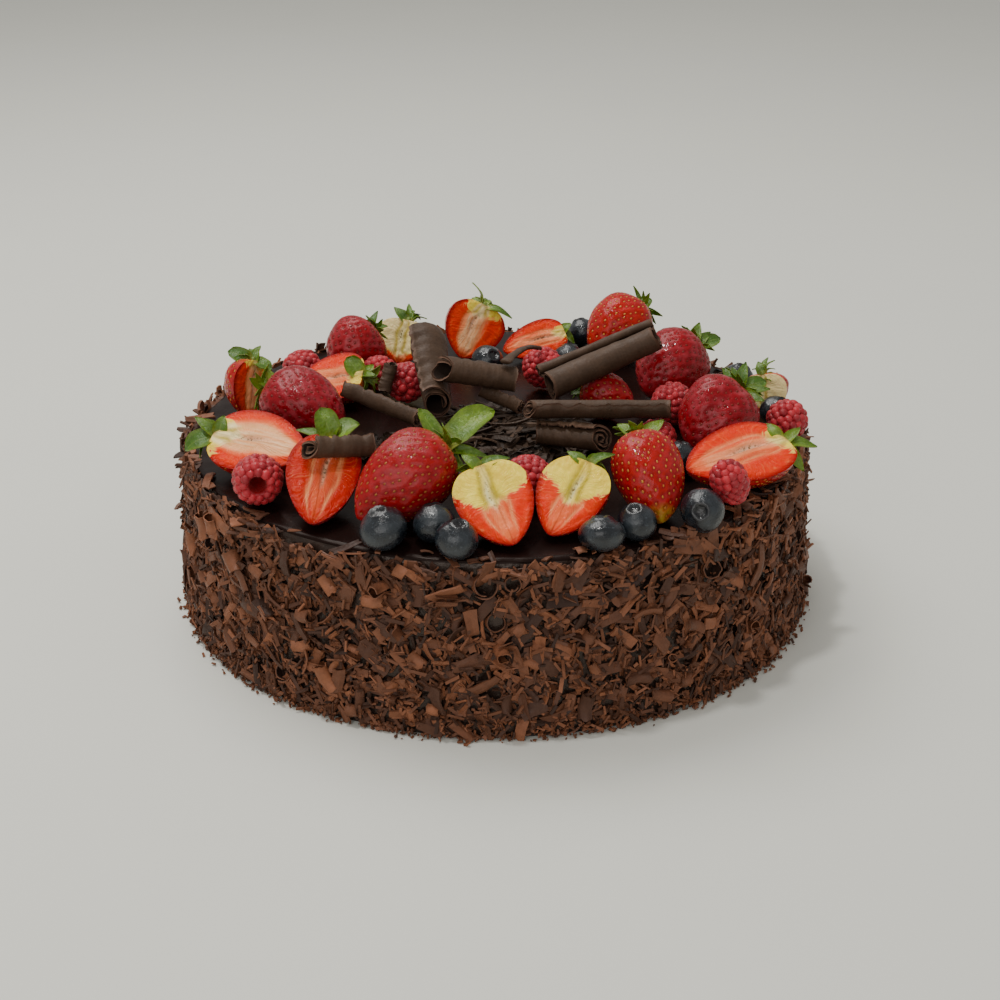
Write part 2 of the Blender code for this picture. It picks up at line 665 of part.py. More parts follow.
def make_bark(name, centre, length, width, turn):
    """A crumpled, broken slab of chocolate."""
    rng = random.Random(name)
    across, along = 4, 6
    points, thickness = [], 2.2 * MM
    for level in (0, 1):
        for i in range(along + 1):
            for j in range(across + 1):
                x = (i / along - 0.5) * length * MM + rng.uniform(-0.8, 0.8) * MM
                y = (j / across - 0.5) * width * MM * (1 - 0.25 * (i / along)) + rng.uniform(-0.7, 0.7) * MM
                wave = 1.6 * MM * math.sin(2.4 * i + 1.3 * j) + rng.uniform(-0.5, 0.5) * MM
                points.append(Vector((x, y, (wave if level else wave * 0.3) + level * thickness)))
    layer = (along + 1) * (across + 1)

    def spot(i, j, level):
        return level * layer + i * (across + 1) + j

    faces = []
    for i in range(along):
        for j in range(across):
            quad = [(i, j), (i + 1, j), (i + 1, j + 1), (i, j + 1)]
            for level in (0, 1):
                a, b, c, d = (spot(*q, level) for q in quad)
                faces += [(a, b, c), (a, c, d)]
    border = [(i, 0) for i in range(along)] + [(along, j) for j in range(across)]
    border += [(i, across) for i in range(along, 0, -1)] + [(0, j) for j in range(across, 0, -1)]
    for (i, j), (m, n) in zip(border, border[1:] + border[:1]):
        faces.append((spot(i, j, 0), spot(m, n, 0), spot(m, n, 1), spot(i, j, 1)))
    body = make_object(name, points, faces, "rolled_chocolate")
    body.matrix_world = Matrix.Translation(above_top(centre)) @ Matrix.Rotation(math.radians(turn), 4, "Z")
    return body


def world_shell(body, grown):
    """A body's world points, each moved out by grown, its faces and its box."""
    place = body.matrix_world
    normal_place = place.to_3x3()
    points = [place @ v.co + (normal_place @ v.normal).normalized() * grown for v in body.data.vertices]
    faces = [tuple(p.vertices) for p in body.data.polygons]
    return points, faces


def box_of(points):
    return [(min(p[i] for p in points), max(p[i] for p in points)) for i in range(3)]


class Table:
    """What has been set down so far, and how far a new piece has to move to rest on it."""

    def __init__(self):
        self.placed = {}

    def replace(self, body):
        """Notes where a body is, in place of what was noted for it."""
        points, faces = world_shell(body, 0.0)
        self.placed[body.name] = (BVHTree.FromPolygons(points, faces), box_of(points))

    def touches(self, points, faces, shift, apart_from=None):
        moved = [p + Vector((0, 0, shift)) for p in points]
        box = box_of(moved)
        tree = None
        for name, (other, other_box) in self.placed.items():
            if name == apart_from:
                continue
            if all(box[i][0] < other_box[i][1] and other_box[i][0] < box[i][1] for i in range(3)):
                tree = tree or BVHTree.FromPolygons(moved, faces)
                if tree.overlap(other):
                    return True
        return False

    def set_down(self, body):
        """Raises the piece until it is clear of the others, or lowers it until it touches them."""
        points, faces = world_shell(body, GAP)
        shift = 0.0
        while self.touches(points, faces, shift) and shift < FURTHEST_SHIFT:
            shift += COARSE_STEP
        for step in (COARSE_STEP, FINE_STEP):
            while not self.touches(points, faces, shift - step) and shift > -FURTHEST_SHIFT:
                shift -= step
        body.matrix_world = Matrix.Translation((0, 0, shift)) @ body.matrix_world
        self.replace(body)
        return shift


def main():
    clear_scene()
    table = Table()
    shifts = {}
    cake = make_cake()
    table.replace(cake)
    heap = make_heap()
    table.replace(heap)
    berries = [(make_strawberry(b), b) for b in STRAWBERRIES]
    pieces = [body for body, _ in berries]
    pieces += [make_raspberry(b) for b in RASPBERRIES]
    pieces += [make_blueberry(b) for b in BLUEBERRIES]
    pieces += [make_bark(*b) for b in BARKS]
    pieces += [make_curl(c) for c in CURLS]
    pieces.append(make_shard("curl_splinter", SPLINTER_START, SPLINTER_END, 5, 2.5))
    for body in pieces:
        shifts[body.name] = table.set_down(body)
    for body, berry in berries:
        add_leaves(body, berry, table)
    for body in pieces:
        smooth(body)
    smooth(cake, 30)
    smooth(heap, 25)
    return shifts


if __name__ == "__main__":
    main()
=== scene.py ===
"""Black forest cake with a ring of berries and a heap of chocolate curls: its surfaces and finishes.

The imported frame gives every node's place. Each node is replaced here by a finer mesh of the same form:
a ganache cake with a coat of loose flakes, strawberries with seeds and sepals, raspberries built from
drupelets, blueberries with their crowns, and sheets of chocolate rolled into curls.
"""

import math
import random
from collections import namedtuple

import bpy
import numpy as np
from bpy.props import FloatProperty, FloatVectorProperty, IntProperty, PointerProperty
from bpy.types import Operator, Panel, PropertyGroup
from mathutils import Matrix, Vector
from mathutils.kdtree import KDTree
from mathutils.noise import noise


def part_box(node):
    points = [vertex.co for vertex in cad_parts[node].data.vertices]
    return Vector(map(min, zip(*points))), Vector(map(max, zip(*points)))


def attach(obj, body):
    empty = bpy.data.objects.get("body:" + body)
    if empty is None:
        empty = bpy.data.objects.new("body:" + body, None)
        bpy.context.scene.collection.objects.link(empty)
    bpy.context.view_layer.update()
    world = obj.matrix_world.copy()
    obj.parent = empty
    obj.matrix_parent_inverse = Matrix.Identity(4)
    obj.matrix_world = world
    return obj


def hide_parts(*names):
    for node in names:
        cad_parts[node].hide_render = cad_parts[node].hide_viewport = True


bl_info = {
    "name": "Black Forest Cake",
    "version": (1, 0, 0),
    "blender": (4, 5, 0),
    "location": "View3D > Sidebar > Cake",
    "description": "Finishes a black forest cake with flakes, berries and chocolate curls",
    "category": "Object",
}

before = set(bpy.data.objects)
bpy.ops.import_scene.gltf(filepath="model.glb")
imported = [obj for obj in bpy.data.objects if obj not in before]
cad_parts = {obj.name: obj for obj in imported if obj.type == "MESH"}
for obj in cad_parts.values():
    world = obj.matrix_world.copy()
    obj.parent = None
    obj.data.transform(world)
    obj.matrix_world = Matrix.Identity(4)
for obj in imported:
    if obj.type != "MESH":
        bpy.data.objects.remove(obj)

MM = 0.001
BODY = "root"
GOLDEN_ANGLE = math.pi * (3 - math.sqrt(5))

# The form of the cake under its flakes
CAKE_TOP = 65 * MM
CAKE_TOP_RADIUS = 115.5 * MM
CAKE_FOOT_RADIUS = 118.5 * MM
RIM_ROUNDING = 3 * MM

# How far up from its tip a strawberry is widest, and how far its crown is dished, as shares of its length
BERRY_WIDEST = 0.62
CROWN_DIP = 0.05

# The numbers of a strawberry's materials
SKIN, SEED, FLESH, SEPAL = range(4)

# Tip, crown and centre are (x, y) from the cake's axis and the height above its top, in millimetres.
# A facing is the way a cut face looks, and a leaf is how far its tip is from the crown, then its width.
# Ripeness runs from 0, orange red, to 1, deep crimson, and darkens the cut flesh too; on the front left half,
# whose face lies in shade, that darker flesh is painted shade in part. Pale is the share of a cut face that
# is cream, counted down from the crown, and core is how pale the streak down its middle is.
# A groove has a depth, as a share of the radius, and an angle round the berry in degrees. Green tip is how
# green the tip still is, from 0 to 1.
Strawberry = namedtuple(
    "Strawberry", "name cut tip crown width facing ripe pale core leaves groove green_tip",
    defaults=((0, 0), 0),
)
WHOLE = (0, 0, 1)
STRAWBERRIES = (
    Strawberry("strawberry_half_left", True, (-66, -57, 12.5), (-102, -42, 14.5), 27.5, (0.1, -0.6, 0.8),
               0.3, 0.2, 1.0, ((-13, -2, -4, 8), (2, 4, 7, 5), (-7, 7, 4, 5), (-9, 4, 6, 4))),
    Strawberry("strawberry_half_front_left", True, (-61, -95.5, 4), (-56, -63, 23.5), 26.5, (0.1, -0.6, 0.8),
               0.7, 0.08, 0.20, ((-4, 6, 11, 8), (10, 4, 6, 8), (-13, 4, 4, 3.5), (4, 5, 7, 4))),
    Strawberry("strawberry_whole_front", False, (-46, -94, 5.5), (-16, -74, 23.5), 30, WHOLE,
               0.6, 0, 0, ((19, 12, 9, 10), (-9, 8, 12, 6), (9, -5, -7, 4), (-5, 6, 5, 5), (17, 0, -3, 3.5))),
    Strawberry("strawberry_half_front_middle", True, (6.5, -110, 2.5), (-5.5, -86, 21.5), 27, (0, -0.7, 0.7),
               0.45, 0.46, 0.50, ((10, 6, 3, 4.5), (-7, 4, 4, 4), (4, 5, 4, 3))),
    Strawberry("strawberry_half_front_right", True, (18, -102.5, 3), (32, -81.5, 21.5), 25, (-0.1, -0.7, 0.7),
               0.3, 0.48, 0.35, ((-7, 4, 4, 3.5), (6, 5, 3, 3.5), (10, 3, 4, 3))),
    Strawberry("strawberry_whole_right", False, (56, -92, 3.5), (49.5, -63, 23.5), 25.5, WHOLE,
               0.4, 0, 0, ((9, 6, 5, 5), (-8, 6, 4, 5), (3, 7, 3, 4)), (0, 0), 0.9),
    Strawberry("strawberry_half_right", True, (66, -71, 12), (105, -47, 14.5), 28.5, (-0.2, -0.5, 0.85),
               0.25, 0.12, 0.62, ((13, 2, -3, 4.5), (8, -5, -9, 4.5), (-6, 8, 5, 4), (7, 5, 4, 3.5))),
    Strawberry("strawberry_whole_right_back", False, (70.5, -35, 6.5), (90.5, -16, 21.5), 30, WHOLE,
               0.9, 0, 0,
               ((-5, 6, 9, 5), (4, 6, 11, 5), (12, 4, 4, 6), (10, -7, 0, 5), (13, -1, 2, 4), (-1, 7, 9, 5)),
               (0.17, 125)),
    Strawberry("strawberry_whole_back_right", False, (58, 17, 8), (79, 40, 19), 29, WHOLE,
               0.85, 0, 0, ((4, 5, 10, 5), (13, 4, 3, 6), (-8, 4, 6, 5), (9, 5, 6, 4))),
    Strawberry("strawberry_whole_back", False, (40, 67, 9), (61, 88, 19), 28, WHOLE,
               0.2, 0, 0, ((7, 3, 5, 7), (-9, 4, 7, 4), (7, 5, -3, 5), (-2, 6, 6, 4))),
    Strawberry("strawberry_half_back_middle", True, (3, 72, 4), (30, 81, 10), 18, (-0.2, -0.8, 0.6),
               0.3, 0.12, 0.6, ((6, -1, -4, 5), (4, 3, 4, 4))),
    Strawberry("strawberry_half_back_left", True, (-15, 76, 2), (-4, 84, 23.5), 26, (0.3, -0.9, 0.3),
               0.3, 0.2, 1.0, ((13, -2, -4, 3), (-5, 5, 3, 4))),
    Strawberry("strawberry_half_pale_left", True, (-41, 70, 2), (-37, 76, 20), 24, (-0.3, -0.9, 0.3),
               0.2, 0.75, 0.8, ((-6, 3, 6, 4), (5, 5, 2, 4))),
    Strawberry("strawberry_whole_back_left", False, (-66, 48, 8), (-50, 63, 18), 26.5, WHOLE,
               0.8, 0, 0, ((3, 5, 9, 3.5), (-8, 3, 5, 5), (7, 5, 3, 4), (-1, 5, 6, 4))),
    Strawberry("strawberry_half_left_back", True, (-77, 28, 9), (-51, 23, 13), 24, (-0.1, -0.5, 0.9),
               0.25, 0.16, 0.5, ((-6, 4, 7, 7), (6, -3, 2, 4), (5, 4, 4, 4))),
    Strawberry("strawberry_half_far_left", True, (-96, 9, 2), (-92, 16, 24), 24, (0.85, -0.5, 0.1),
               0.35, 0.15, 0.75, ((-10, 1, 4, 6), (8, -2, -2, 6), (2, 4, 4, 4))),
    Strawberry("strawberry_whole_left", False, (-56, -20, 9), (-86, -5, 17.5), 28, WHOLE,
               0.95, 0, 0, ((-2, 4, 8, 5), (-8, 3, 5, 5), (3, 5, 6, 4))),
    Strawberry("strawberry_half_pale_right", True, (106, 13, 3), (103, 16, 19), 20, (-0.4, -0.9, 0.1),
               0.2, 0.8, 0.8, ((6, -3, -2, 4), (-2, 4, 5, 4))),
    Strawberry("strawberry_whole_inner", False, (53, 3, 7), (34, 14, 11), 19, WHOLE,
               0.6, 0, 0, ((-7, 4, 2, 4), (-7, -3, -1, 4))),
)

# A raspberry runs from its tip to the mouth that its stalk leaves, which is hollow or turned out of sight.
Raspberry = namedtuple("Raspberry", "name tip mouth width hollow")
RASPBERRIES = (
    Raspberry("raspberry_left", (-83, -62, 8.5), (-81, -79, 9.5), 18, True),
    Raspberry("raspberry_front_middle", (10, -80, 14), (12, -65, 8), 18, True),
    Raspberry("raspberry_right_front", (84, -78, 0), (76.5, -83, 15.5), 13.4, False),
    Raspberry("raspberry_right_inner", (56, -38, 9), (61, -26, 8), 15, True),
    Raspberry("raspberry_right_middle", (63, -6, 10), (71, 7, 9), 17, True),
    Raspberry("raspberry_far_right", (107, -21, 9), (110, -8, 8), 16, True),
    Raspberry("raspberry_back_middle", (14, 35, 10), (23, 47, 9), 17, True),
    Raspberry("raspberry_left_rim", (-83, 35, 8.5), (-73, 46, 9), 16, True),
    Raspberry("raspberry_inner_left", (-51, 44, 9), (-43, 33, 9), 15, False),
    Raspberry("raspberry_inner_back", (-31, 33, 10), (-38, 20, 9), 16.5, False),
)

# Squat is a blueberry's height as a share of its width, and crown is the way its crown looks.
Blueberry = namedtuple("Blueberry", "name centre width squat crown")
BLUEBERRIES = (
    Blueberry("blueberry_front_1", (-36.5, -105.5, 7), 16.0, 0.88, (-0.3, -0.1, 1)),
    Blueberry("blueberry_front_2", (-20, -101, 7), 14.4, 0.92, (-0.2, 0.3, 1)),
    Blueberry("blueberry_front_3", (-12.3, -112.7, 7), 14.2, 0.92, (0.2, -0.2, 1)),
    Blueberry("blueberry_front_4", (35, -108, 6), 16.0, 0.72, (0, 0.4, 1)),
    Blueberry("blueberry_front_5", (47, -99, 7), 13.4, 0.94, (-0.2, -0.3, 1)),
    Blueberry("blueberry_right", (69.5, -91, 7.7), 15, 0.95, (-0.2, -0.9, 0.35)),
    Blueberry("blueberry_right_inner", (66, -46, 7), 13.2, 0.95, (0.2, 0.2, 1)),
    Blueberry("blueberry_far_right", (107, 1.5, 7), 12.6, 0.9, (0.4, -0.3, 0.8)),
    Blueberry("blueberry_back_inner", (-3.5, 57, 7), 13.5, 0.88, (0.5, -0.6, 0.7)),
    Blueberry("blueberry_back_1", (30, 60, 6.5), 13.6, 0.9, (0.1, 0.3, 1)),
    Blueberry("blueberry_back_2", (37, 96, 6.5), 12.5, 0.9, (-0.3, 0.2, 1)),
    Blueberry("blueberry_behind_1", (80, 63, 7), 14.0, 0.9, (0.4, 0.5, 0.8)),
    Blueberry("blueberry_behind_2", (97, 37, 6.5), 13.2, 0.9, (0.3, 0.1, 0.9)),
    Blueberry("blueberry_behind_3", (-10, 102, 7), 14.4, 0.88, (0.1, 0.5, 0.9)),
    Blueberry("blueberry_behind_4", (-57, 84, 7), 14.0, 0.9, (-0.3, 0.4, 0.9)),
)

# Each curl runs between its two ends. A second roll makes it a double scroll. Open is how far each end is
# broken back on the side seen from the front, and seam is the angle at which the sheet's outer edge lies.
# A drawn curl narrows to a rounded top.
Curl = namedtuple(
    "Curl", "name start end width end_width turns second_roll open seam drawn", defaults=(False,),
)
CURLS = (
    Curl("curl_leaning_wide", (-20, -7, 11.5), (-26, 27.5, 32), 12.5, 19, 1.5, 0, (6, 0), 40, True),
    Curl("curl_upright_short", (-43.5, 16, 8), (-40, 22, 20), 6, 6, 1.3, 0, (0, 2), 60),
    Curl("curl_left_long", (-57.5, -13, 22), (-27, -31, 16), 7.2, 7.2, 1.6, 0, (2, 0), 100),
    Curl("curl_under", (-7, 4, 17), (11, -7.5, 13), 6.8, 6.8, 1.4, 0, (3, 0), 110),
    Curl("curl_lower_spiral", (43.5, -37, 12), (14, -29, 12), 11, 10, 2.6, 0, (7, 2), 60),
    Curl("curl_open_end", (-24.5, -4, 30), (9, 1, 23), 10, 10, 1.25, 0, (7.5, 1), 35),
    Curl("curl_double_long", (17, 0, 15), (62, 13, 31.5), 13, 11, 1.5, 5, (1, 4), 0),
    Curl("curl_long_right", (9, -31, 22), (65, -31, 22), 8.2, 8.0, 2.0, 0, (5, 1), 142),
    Curl("curl_front_left", (-66, -77.5, 25), (-40.5, -68, 22), 8.2, 8.2, 1.8, 0, (6, 0), 95),
)

# A slab lies in the middle of its node's box, turned by an angle in degrees.
Bark = namedtuple("Bark", "name length width turn")
BARKS = (
    Bark("bark_crumpled", 27, 14, -14),
    Bark("bark_left", 20, 13, 35),
)

Splinter = namedtuple("Splinter", "name start end width bow")
SPLINTER = Splinter("curl_splinter", (4, -3, 29), (18, 39, 19.5), 4.2, 2.5)

# What stands out on the cake's side has an angle round the cake in degrees and a height in millimetres.
OpenScroll = namedtuple("OpenScroll", "angle height width length")
OPEN_SCROLLS = tuple(OpenScroll(*scroll) for scroll in (
    (-92, 56, 8.6, 10), (-51, 50, 7.6, 9), (-87.3, 57, 6, 6), (-90, 43, 7, 5), (-128, 11, 7, 8),
    (-67, 30, 6, 6), (-150, 44, 7, 6), (-20, 38, 8, 7), (15, 52, 9, 7), (48, 24, 7, 6), (80, 50, 8, 7),
    (112, 36, 7, 7), (146, 54, 8, 7), (176, 22, 7, 6),
))

# A long flake at the rim slopes by an angle in degrees, and its tone runs from 0, dark, to 1, light.
LongFlake = namedtuple("LongFlake", "angle height length width slope tone")
LONG_FLAKES = tuple(LongFlake(*flake) for flake in (
    (-147, 63.0, 18, 3.0, 3, 0.05), (-146, 57.5, 20, 5.0, -14, 0.9), (-161, 63.5, 8, 6.5, 75, 0.85),
    (-30, 62.5, 14, 4.5, 12, 0.8), (-14, 63.5, 10, 5.5, 60, 0.75), (-3, 61.0, 15, 3.6, -8, 0.2),
    (27, 62.0, 13, 5.0, 20, 0.85), (64, 63.0, 16, 3.8, -5, 0.15), (101, 62.0, 12, 5.2, 40, 0.8),
    (139, 62.5, 17, 4.0, 6, 0.9), (171, 63.0, 11, 5.6, 65, 0.7),
))

# A light has a place, the size of its face, and a colour. Its power is in the stage's settings.
Light = namedtuple("Light", "name place size colour")
LIGHTS = (
    Light("key", (-0.35, 0.45, 1.15), (0.9, 0.7), (1.0, 0.98, 0.94)),
    Light("fill", (-0.3, -1.3, 0.8), (1.2, 0.9), (1.0, 0.985, 0.96)),
    Light("glint", (-0.16, -0.12, 1.05), (0.07, 0.07), (1.0, 0.99, 0.96)),
)
LIT_PLACE = (0, 0, 0.05)

# The camera stands before the cake and looks down on it.
CAMERA_PLACE = (0.00176, -0.63563, 0.3218)
CAMERA_DOWN = math.radians(24.31)
CAMERA_LENS = 64.43


def colour_property(name, description, default):
    """A colour that a user can change."""
    return FloatVectorProperty(
        name=name, description=description, default=default, subtype="COLOR", size=3, min=0, max=1
    )


def length_property(name, description, default):
    """A length that a user can change."""
    return FloatProperty(
        name=name, description=description, default=default, subtype="DISTANCE", unit="LENGTH", min=0
    )


class CakeSettings(PropertyGroup):
    """The ganache and the coat of flakes on the side."""

    ganache: colour_property("Ganache", "Colour of the poured ganache", (0.013, 0.006, 0.005))
    side: colour_property("Side", "Colour of the ganache between the flakes", (0.036, 0.022, 0.017))
    flake_dark: colour_property("Dark flakes", "Colour of the darkest flakes", (0.040, 0.020, 0.014))
    flake_light: colour_property("Light flakes", "Colour of the lightest flakes", (0.29, 0.108, 0.052))
    flakes: IntProperty(name="Flakes", description="Number of large flakes", default=3500, min=0)
    splinters: IntProperty(name="Splinters", description="Number of thin splinters", default=7600, min=0)
    crumbs: IntProperty(name="Crumbs", description="Number of crumbs on the side", default=6200, min=0)
    flake_thickness: length_property("Flake thickness", "Thickness of a large flake", 0.55 * MM)


class BerrySettings(PropertyGroup):
    """The strawberries, raspberries and blueberries."""

    skin_bright: colour_property("Bright skin", "Skin of a light red strawberry", (0.54, 0.014, 0.006))
    skin_deep: colour_property("Deep skin", "Skin of a dark red strawberry", (0.25, 0.004, 0.012))
    seed: colour_property("Seed", "Colour of the seeds on a strawberry", (0.66, 0.30, 0.045))
    flesh: colour_property("Flesh", "Colour of cut flesh near the skin", (0.74, 0.020, 0.003))
    cream: colour_property("Pale flesh", "Colour of cut flesh near the crown", (0.98, 0.77, 0.09))
    leaf: colour_property("Leaf", "Colour of the sepals", (0.060, 0.140, 0.009))
    raspberry: colour_property("Raspberry", "Colour of the raspberries", (0.40, 0.010, 0.024))
    blueberry: colour_property("Blueberry", "Skin of the blueberries", (0.006, 0.008, 0.011))
    bloom: colour_property("Bloom", "Waxy bloom on the blueberries", (0.021, 0.027, 0.033))
    seed_spacing: length_property("Seed spacing", "Distance between seeds on a strawberry", 3.1 * MM)
    dimple: length_property("Dimple", "Depth of the dimple round a seed", 0.42 * MM)


class CurlSettings(PropertyGroup):
    """The rolled chocolate and the shavings under it."""

    chocolate: colour_property("Chocolate", "Colour of the curls", (0.070, 0.040, 0.024))
    broken: colour_property("Broken edge", "Colour of freshly broken chocolate", (0.125, 0.068, 0.044))
    thickness: length_property("Sheet thickness", "Thickness of the rolled sheet", 0.85 * MM)
    shavings: IntProperty(name="Shavings", description="Loose shavings in the middle", default=420, min=0)


class StageSettings(PropertyGroup):
    """The floor and the lights."""

    floor: colour_property("Floor", "Colour of the floor", (0.70, 0.70, 0.64))
    key: FloatProperty(name="Key light", description="Power of the overhead light", default=11, unit="POWER")
    fill: FloatProperty(name="Fill light", description="Power of the front light", default=6.5, unit="POWER")
    glint: FloatProperty(
        name="Glint light", description="Power of the small light that the glaze reflects", default=3.2,
        unit="POWER",
    )
    sky: FloatProperty(name="Ambient", description="Strength of the light from all round", default=0.5)


class ShadeTree:
    """Writes a node tree. Each method adds a node and returns the socket that holds its result."""

    def __init__(self, tree):
        self.tree = tree
        self.count = 0

    def node(self, kind, inputs=None, **settings):
        made = self.tree.nodes.new(kind)
        made.location = (-220 * (self.count % 7), -180 * (self.count // 7))
        self.count += 1
        for key, value in settings.items():
            setattr(made, key, value)
        for key, value in (inputs or {}).items():
            self.feed(made.inputs[key], value)
        return made

    def feed(self, socket, value):
        if isinstance(value, bpy.types.NodeSocket):
            self.tree.links.new(value, socket)
        elif isinstance(value, (tuple, list)) and len(value) == 3 and socket.type == "RGBA":
            socket.default_value = (*value, 1)
        else:
            socket.default_value = value

    def point_value(self, name):
        return self.node("ShaderNodeAttribute", attribute_name=name).outputs["Fac"]

    def mix(self, share, first, second):
        made = self.node("ShaderNodeMix", data_type="RGBA")
        for key, value in ((0, share), (6, first), (7, second)):
            self.feed(made.inputs[key], value)
        return made.outputs[2]

    def calculate(self, operation, *values):
        made = self.node("ShaderNodeMath", operation=operation)
        for socket, value in zip(made.inputs, values):
            self.feed(socket, value)
        return made.outputs[0]

    def times(self, first, second):
        return self.calculate("MULTIPLY", first, second)

    def plus(self, first, second):
        return self.calculate("ADD", first, second)

    def spread(self, value, low, high, to_low=0.0, to_high=1.0):
        """Stretches the range from low to high over the range from to_low to to_high, and no further."""
        made = self.node("ShaderNodeMapRange", {
            "Value": value, "From Min": low, "From Max": high, "To Min": to_low, "To Max": to_high,
        })
        return made.outputs[0]

    def ramp(self, share, stops):
        made = self.node("ShaderNodeValToRGB", {"Fac": share})
        elements = made.color_ramp.elements
        while len(elements) < len(stops):
            elements.new(0.5)
        for element, (place, colour) in zip(elements, stops):
            element.position = place
            element.color = (*colour, 1)
        return made.outputs[0]

    def noise(self, scale, detail=3.0, roughness=0.5, vector=None):
        values = {"Scale": scale, "Detail": detail, "Roughness": roughness}
        values["Vector"] = vector or self.node("ShaderNodeTexCoord").outputs["Object"]
        return self.node("ShaderNodeTexNoise", values).outputs["Fac"]

    def bump(self, height, distance, strength=1.0, normal=None):
        values = {"Height": height, "Distance": distance, "Strength": strength}
        if normal is not None:
            values["Normal"] = normal
        return self.node("ShaderNodeBump", values).outputs["Normal"]


def group_sockets(group, inputs, outputs):
    """Gives a node group its named inputs, with their values, and its named outputs."""
    for name, kind, value in inputs:
        socket = group.interface.new_socket(name, in_out="INPUT", socket_type=kind)
        socket.default_value = value
    for name, kind in outputs:
        group.interface.new_socket(name, in_out="OUTPUT", socket_type=kind)


def mottle_group():
    """Cloudy colour: two sizes of noise blend one colour into another."""
    name = "cloudy colour"
    if name in bpy.data.node_groups:
        return bpy.data.node_groups[name]
    group = bpy.data.node_groups.new(name, "ShaderNodeTree")
    group_sockets(group, (
        ("Colour", "NodeSocketColor", (0.5, 0.5, 0.5, 1)),
        ("Second colour", "NodeSocketColor", (0.2, 0.2, 0.2, 1)),
        ("Scale", "NodeSocketFloat", 100.0),
        ("Amount", "NodeSocketFloat", 0.5),
    ), (("Colour", "NodeSocketColor"),))
    tree = ShadeTree(group)
    given = tree.node("NodeGroupInput").outputs
    coarse = tree.noise(given["Scale"], 2.0)
    fine = tree.noise(tree.times(given["Scale"], 4.3), 3.0, 0.6)
    both = tree.plus(tree.times(coarse, 0.65), tree.times(fine, 0.35))
    share = tree.times(tree.spread(both, 0.35, 0.65), given["Amount"])
    tree.node("NodeGroupOutput", {"Colour": tree.mix(share, given["Colour"], given["Second colour"])})
    return group


def relief_group():
    """Fine relief: grain of one size over grain of a larger one, as a normal."""
    name = "fine relief"
    if name in bpy.data.node_groups:
        return bpy.data.node_groups[name]
    group = bpy.data.node_groups.new(name, "ShaderNodeTree")
    group_sockets(group, (
        ("Scale", "NodeSocketFloat", 800.0),
        ("Depth", "NodeSocketFloat", 0.0002),
        ("Strength", "NodeSocketFloat", 0.5),
    ), (("Normal", "NodeSocketVector"),))
    tree = ShadeTree(group)
    given = tree.node("NodeGroupInput").outputs
    coarse = tree.noise(given["Scale"], 2.0)
    fine = tree.noise(tree.times(given["Scale"], 5.0), 4.0, 0.6)
    height = tree.plus(coarse, tree.times(fine, 0.3))
    tree.node("NodeGroupOutput", {"Normal": tree.bump(height, given["Depth"], given["Strength"])})
    return group


def new_material(name, **fixed):
    """A material with a Principled shader, whose fixed values are set on its own sockets."""
    material = bpy.data.materials.new(name)
    material.use_nodes = True
    shader = material.node_tree.nodes["Principled BSDF"]
    for key, value in fixed.items():
        socket = shader.inputs[key.replace("_", " ")]
        socket.default_value = (*value, 1) if socket.type == "RGBA" and len(value) == 3 else value
    return material, ShadeTree(material.node_tree), shader


def mottle(tree, colour, second, scale, amount):
    """A colour with clouds of a second one in it."""
    made = tree.node("ShaderNodeGroup", node_tree=mottle_group())
    for key, value in (("Colour", colour), ("Second colour", second), ("Scale", scale), ("Amount", amount)):
        tree.feed(made.inputs[key], value)
    return made.outputs[0]


def relief(tree, scale, depth, strength):
    """The normal of a finely uneven surface."""
    made = tree.node("ShaderNodeGroup", node_tree=relief_group())
    for key, value in (("Scale", scale), ("Depth", depth), ("Strength", strength)):
        tree.feed(made.inputs[key], value)
    return made.outputs[0]


def darker(colour, share):
    """A colour at a share of its brightness."""
    return tuple(c * share for c in colour)


def ganache_material(settings):
    """The dark, softly glossy top."""
    material, tree, shader = new_material(
        "poured ganache", Specular_IOR_Level=0.09, Specular_Tint=(1.0, 0.84, 0.74),
    )
    colour = tuple(settings.ganache)
    tree.feed(shader.inputs["Base Color"], mottle(tree, colour, darker(colour, 0.6), 60.0, 0.7))
    tree.feed(shader.inputs["Roughness"], tree.spread(tree.noise(45.0, 3.0), 0.3, 0.7, 0.18, 0.34))
    tree.feed(shader.inputs["Normal"], relief(tree, 90.0, 0.0004, 0.35))
    return material


def side_material(settings):
    """The wet ganache that glistens between the flakes."""
    material, tree, shader = new_material(
        "ganache on the side", Specular_IOR_Level=0.38, Specular_Tint=(1.0, 0.88, 0.80),
    )
    colour = tuple(settings.side)
    tree.feed(shader.inputs["Base Color"], mottle(tree, colour, darker(colour, 0.45), 220.0, 0.9))
    tree.feed(shader.inputs["Roughness"], tree.spread(tree.noise(300.0), 0.3, 0.7, 0.05, 0.26))
    tree.feed(shader.inputs["Normal"], relief(tree, 150.0, 0.0014, 0.7))
    return material


def flake_material(settings):
    """Each flake has its own tone, clouded with darker patches."""
    material, tree, shader = new_material("chocolate flakes", Specular_IOR_Level=0.25)
    tone = tree.point_value("tone")
    dark, light = tuple(settings.flake_dark), tuple(settings.flake_light)
    middle = tuple((d + l) / 2 for d, l in zip(dark, light))
    base = tree.ramp(tone, ((0.0, dark), (0.5, darker(middle, 0.9)), (1.0, light)))
    clouded = mottle(tree, base, tree.mix(0.45, base, (0.03, 0.012, 0.008)), 380.0, 0.6)
    tree.feed(shader.inputs["Base Color"], clouded)
    tree.feed(shader.inputs["Roughness"], tree.spread(tree.noise(500.0), 0.3, 0.7, 0.42, 0.68))
    tree.feed(shader.inputs["Normal"], relief(tree, 900.0, 0.0003, 0.6))
    return material


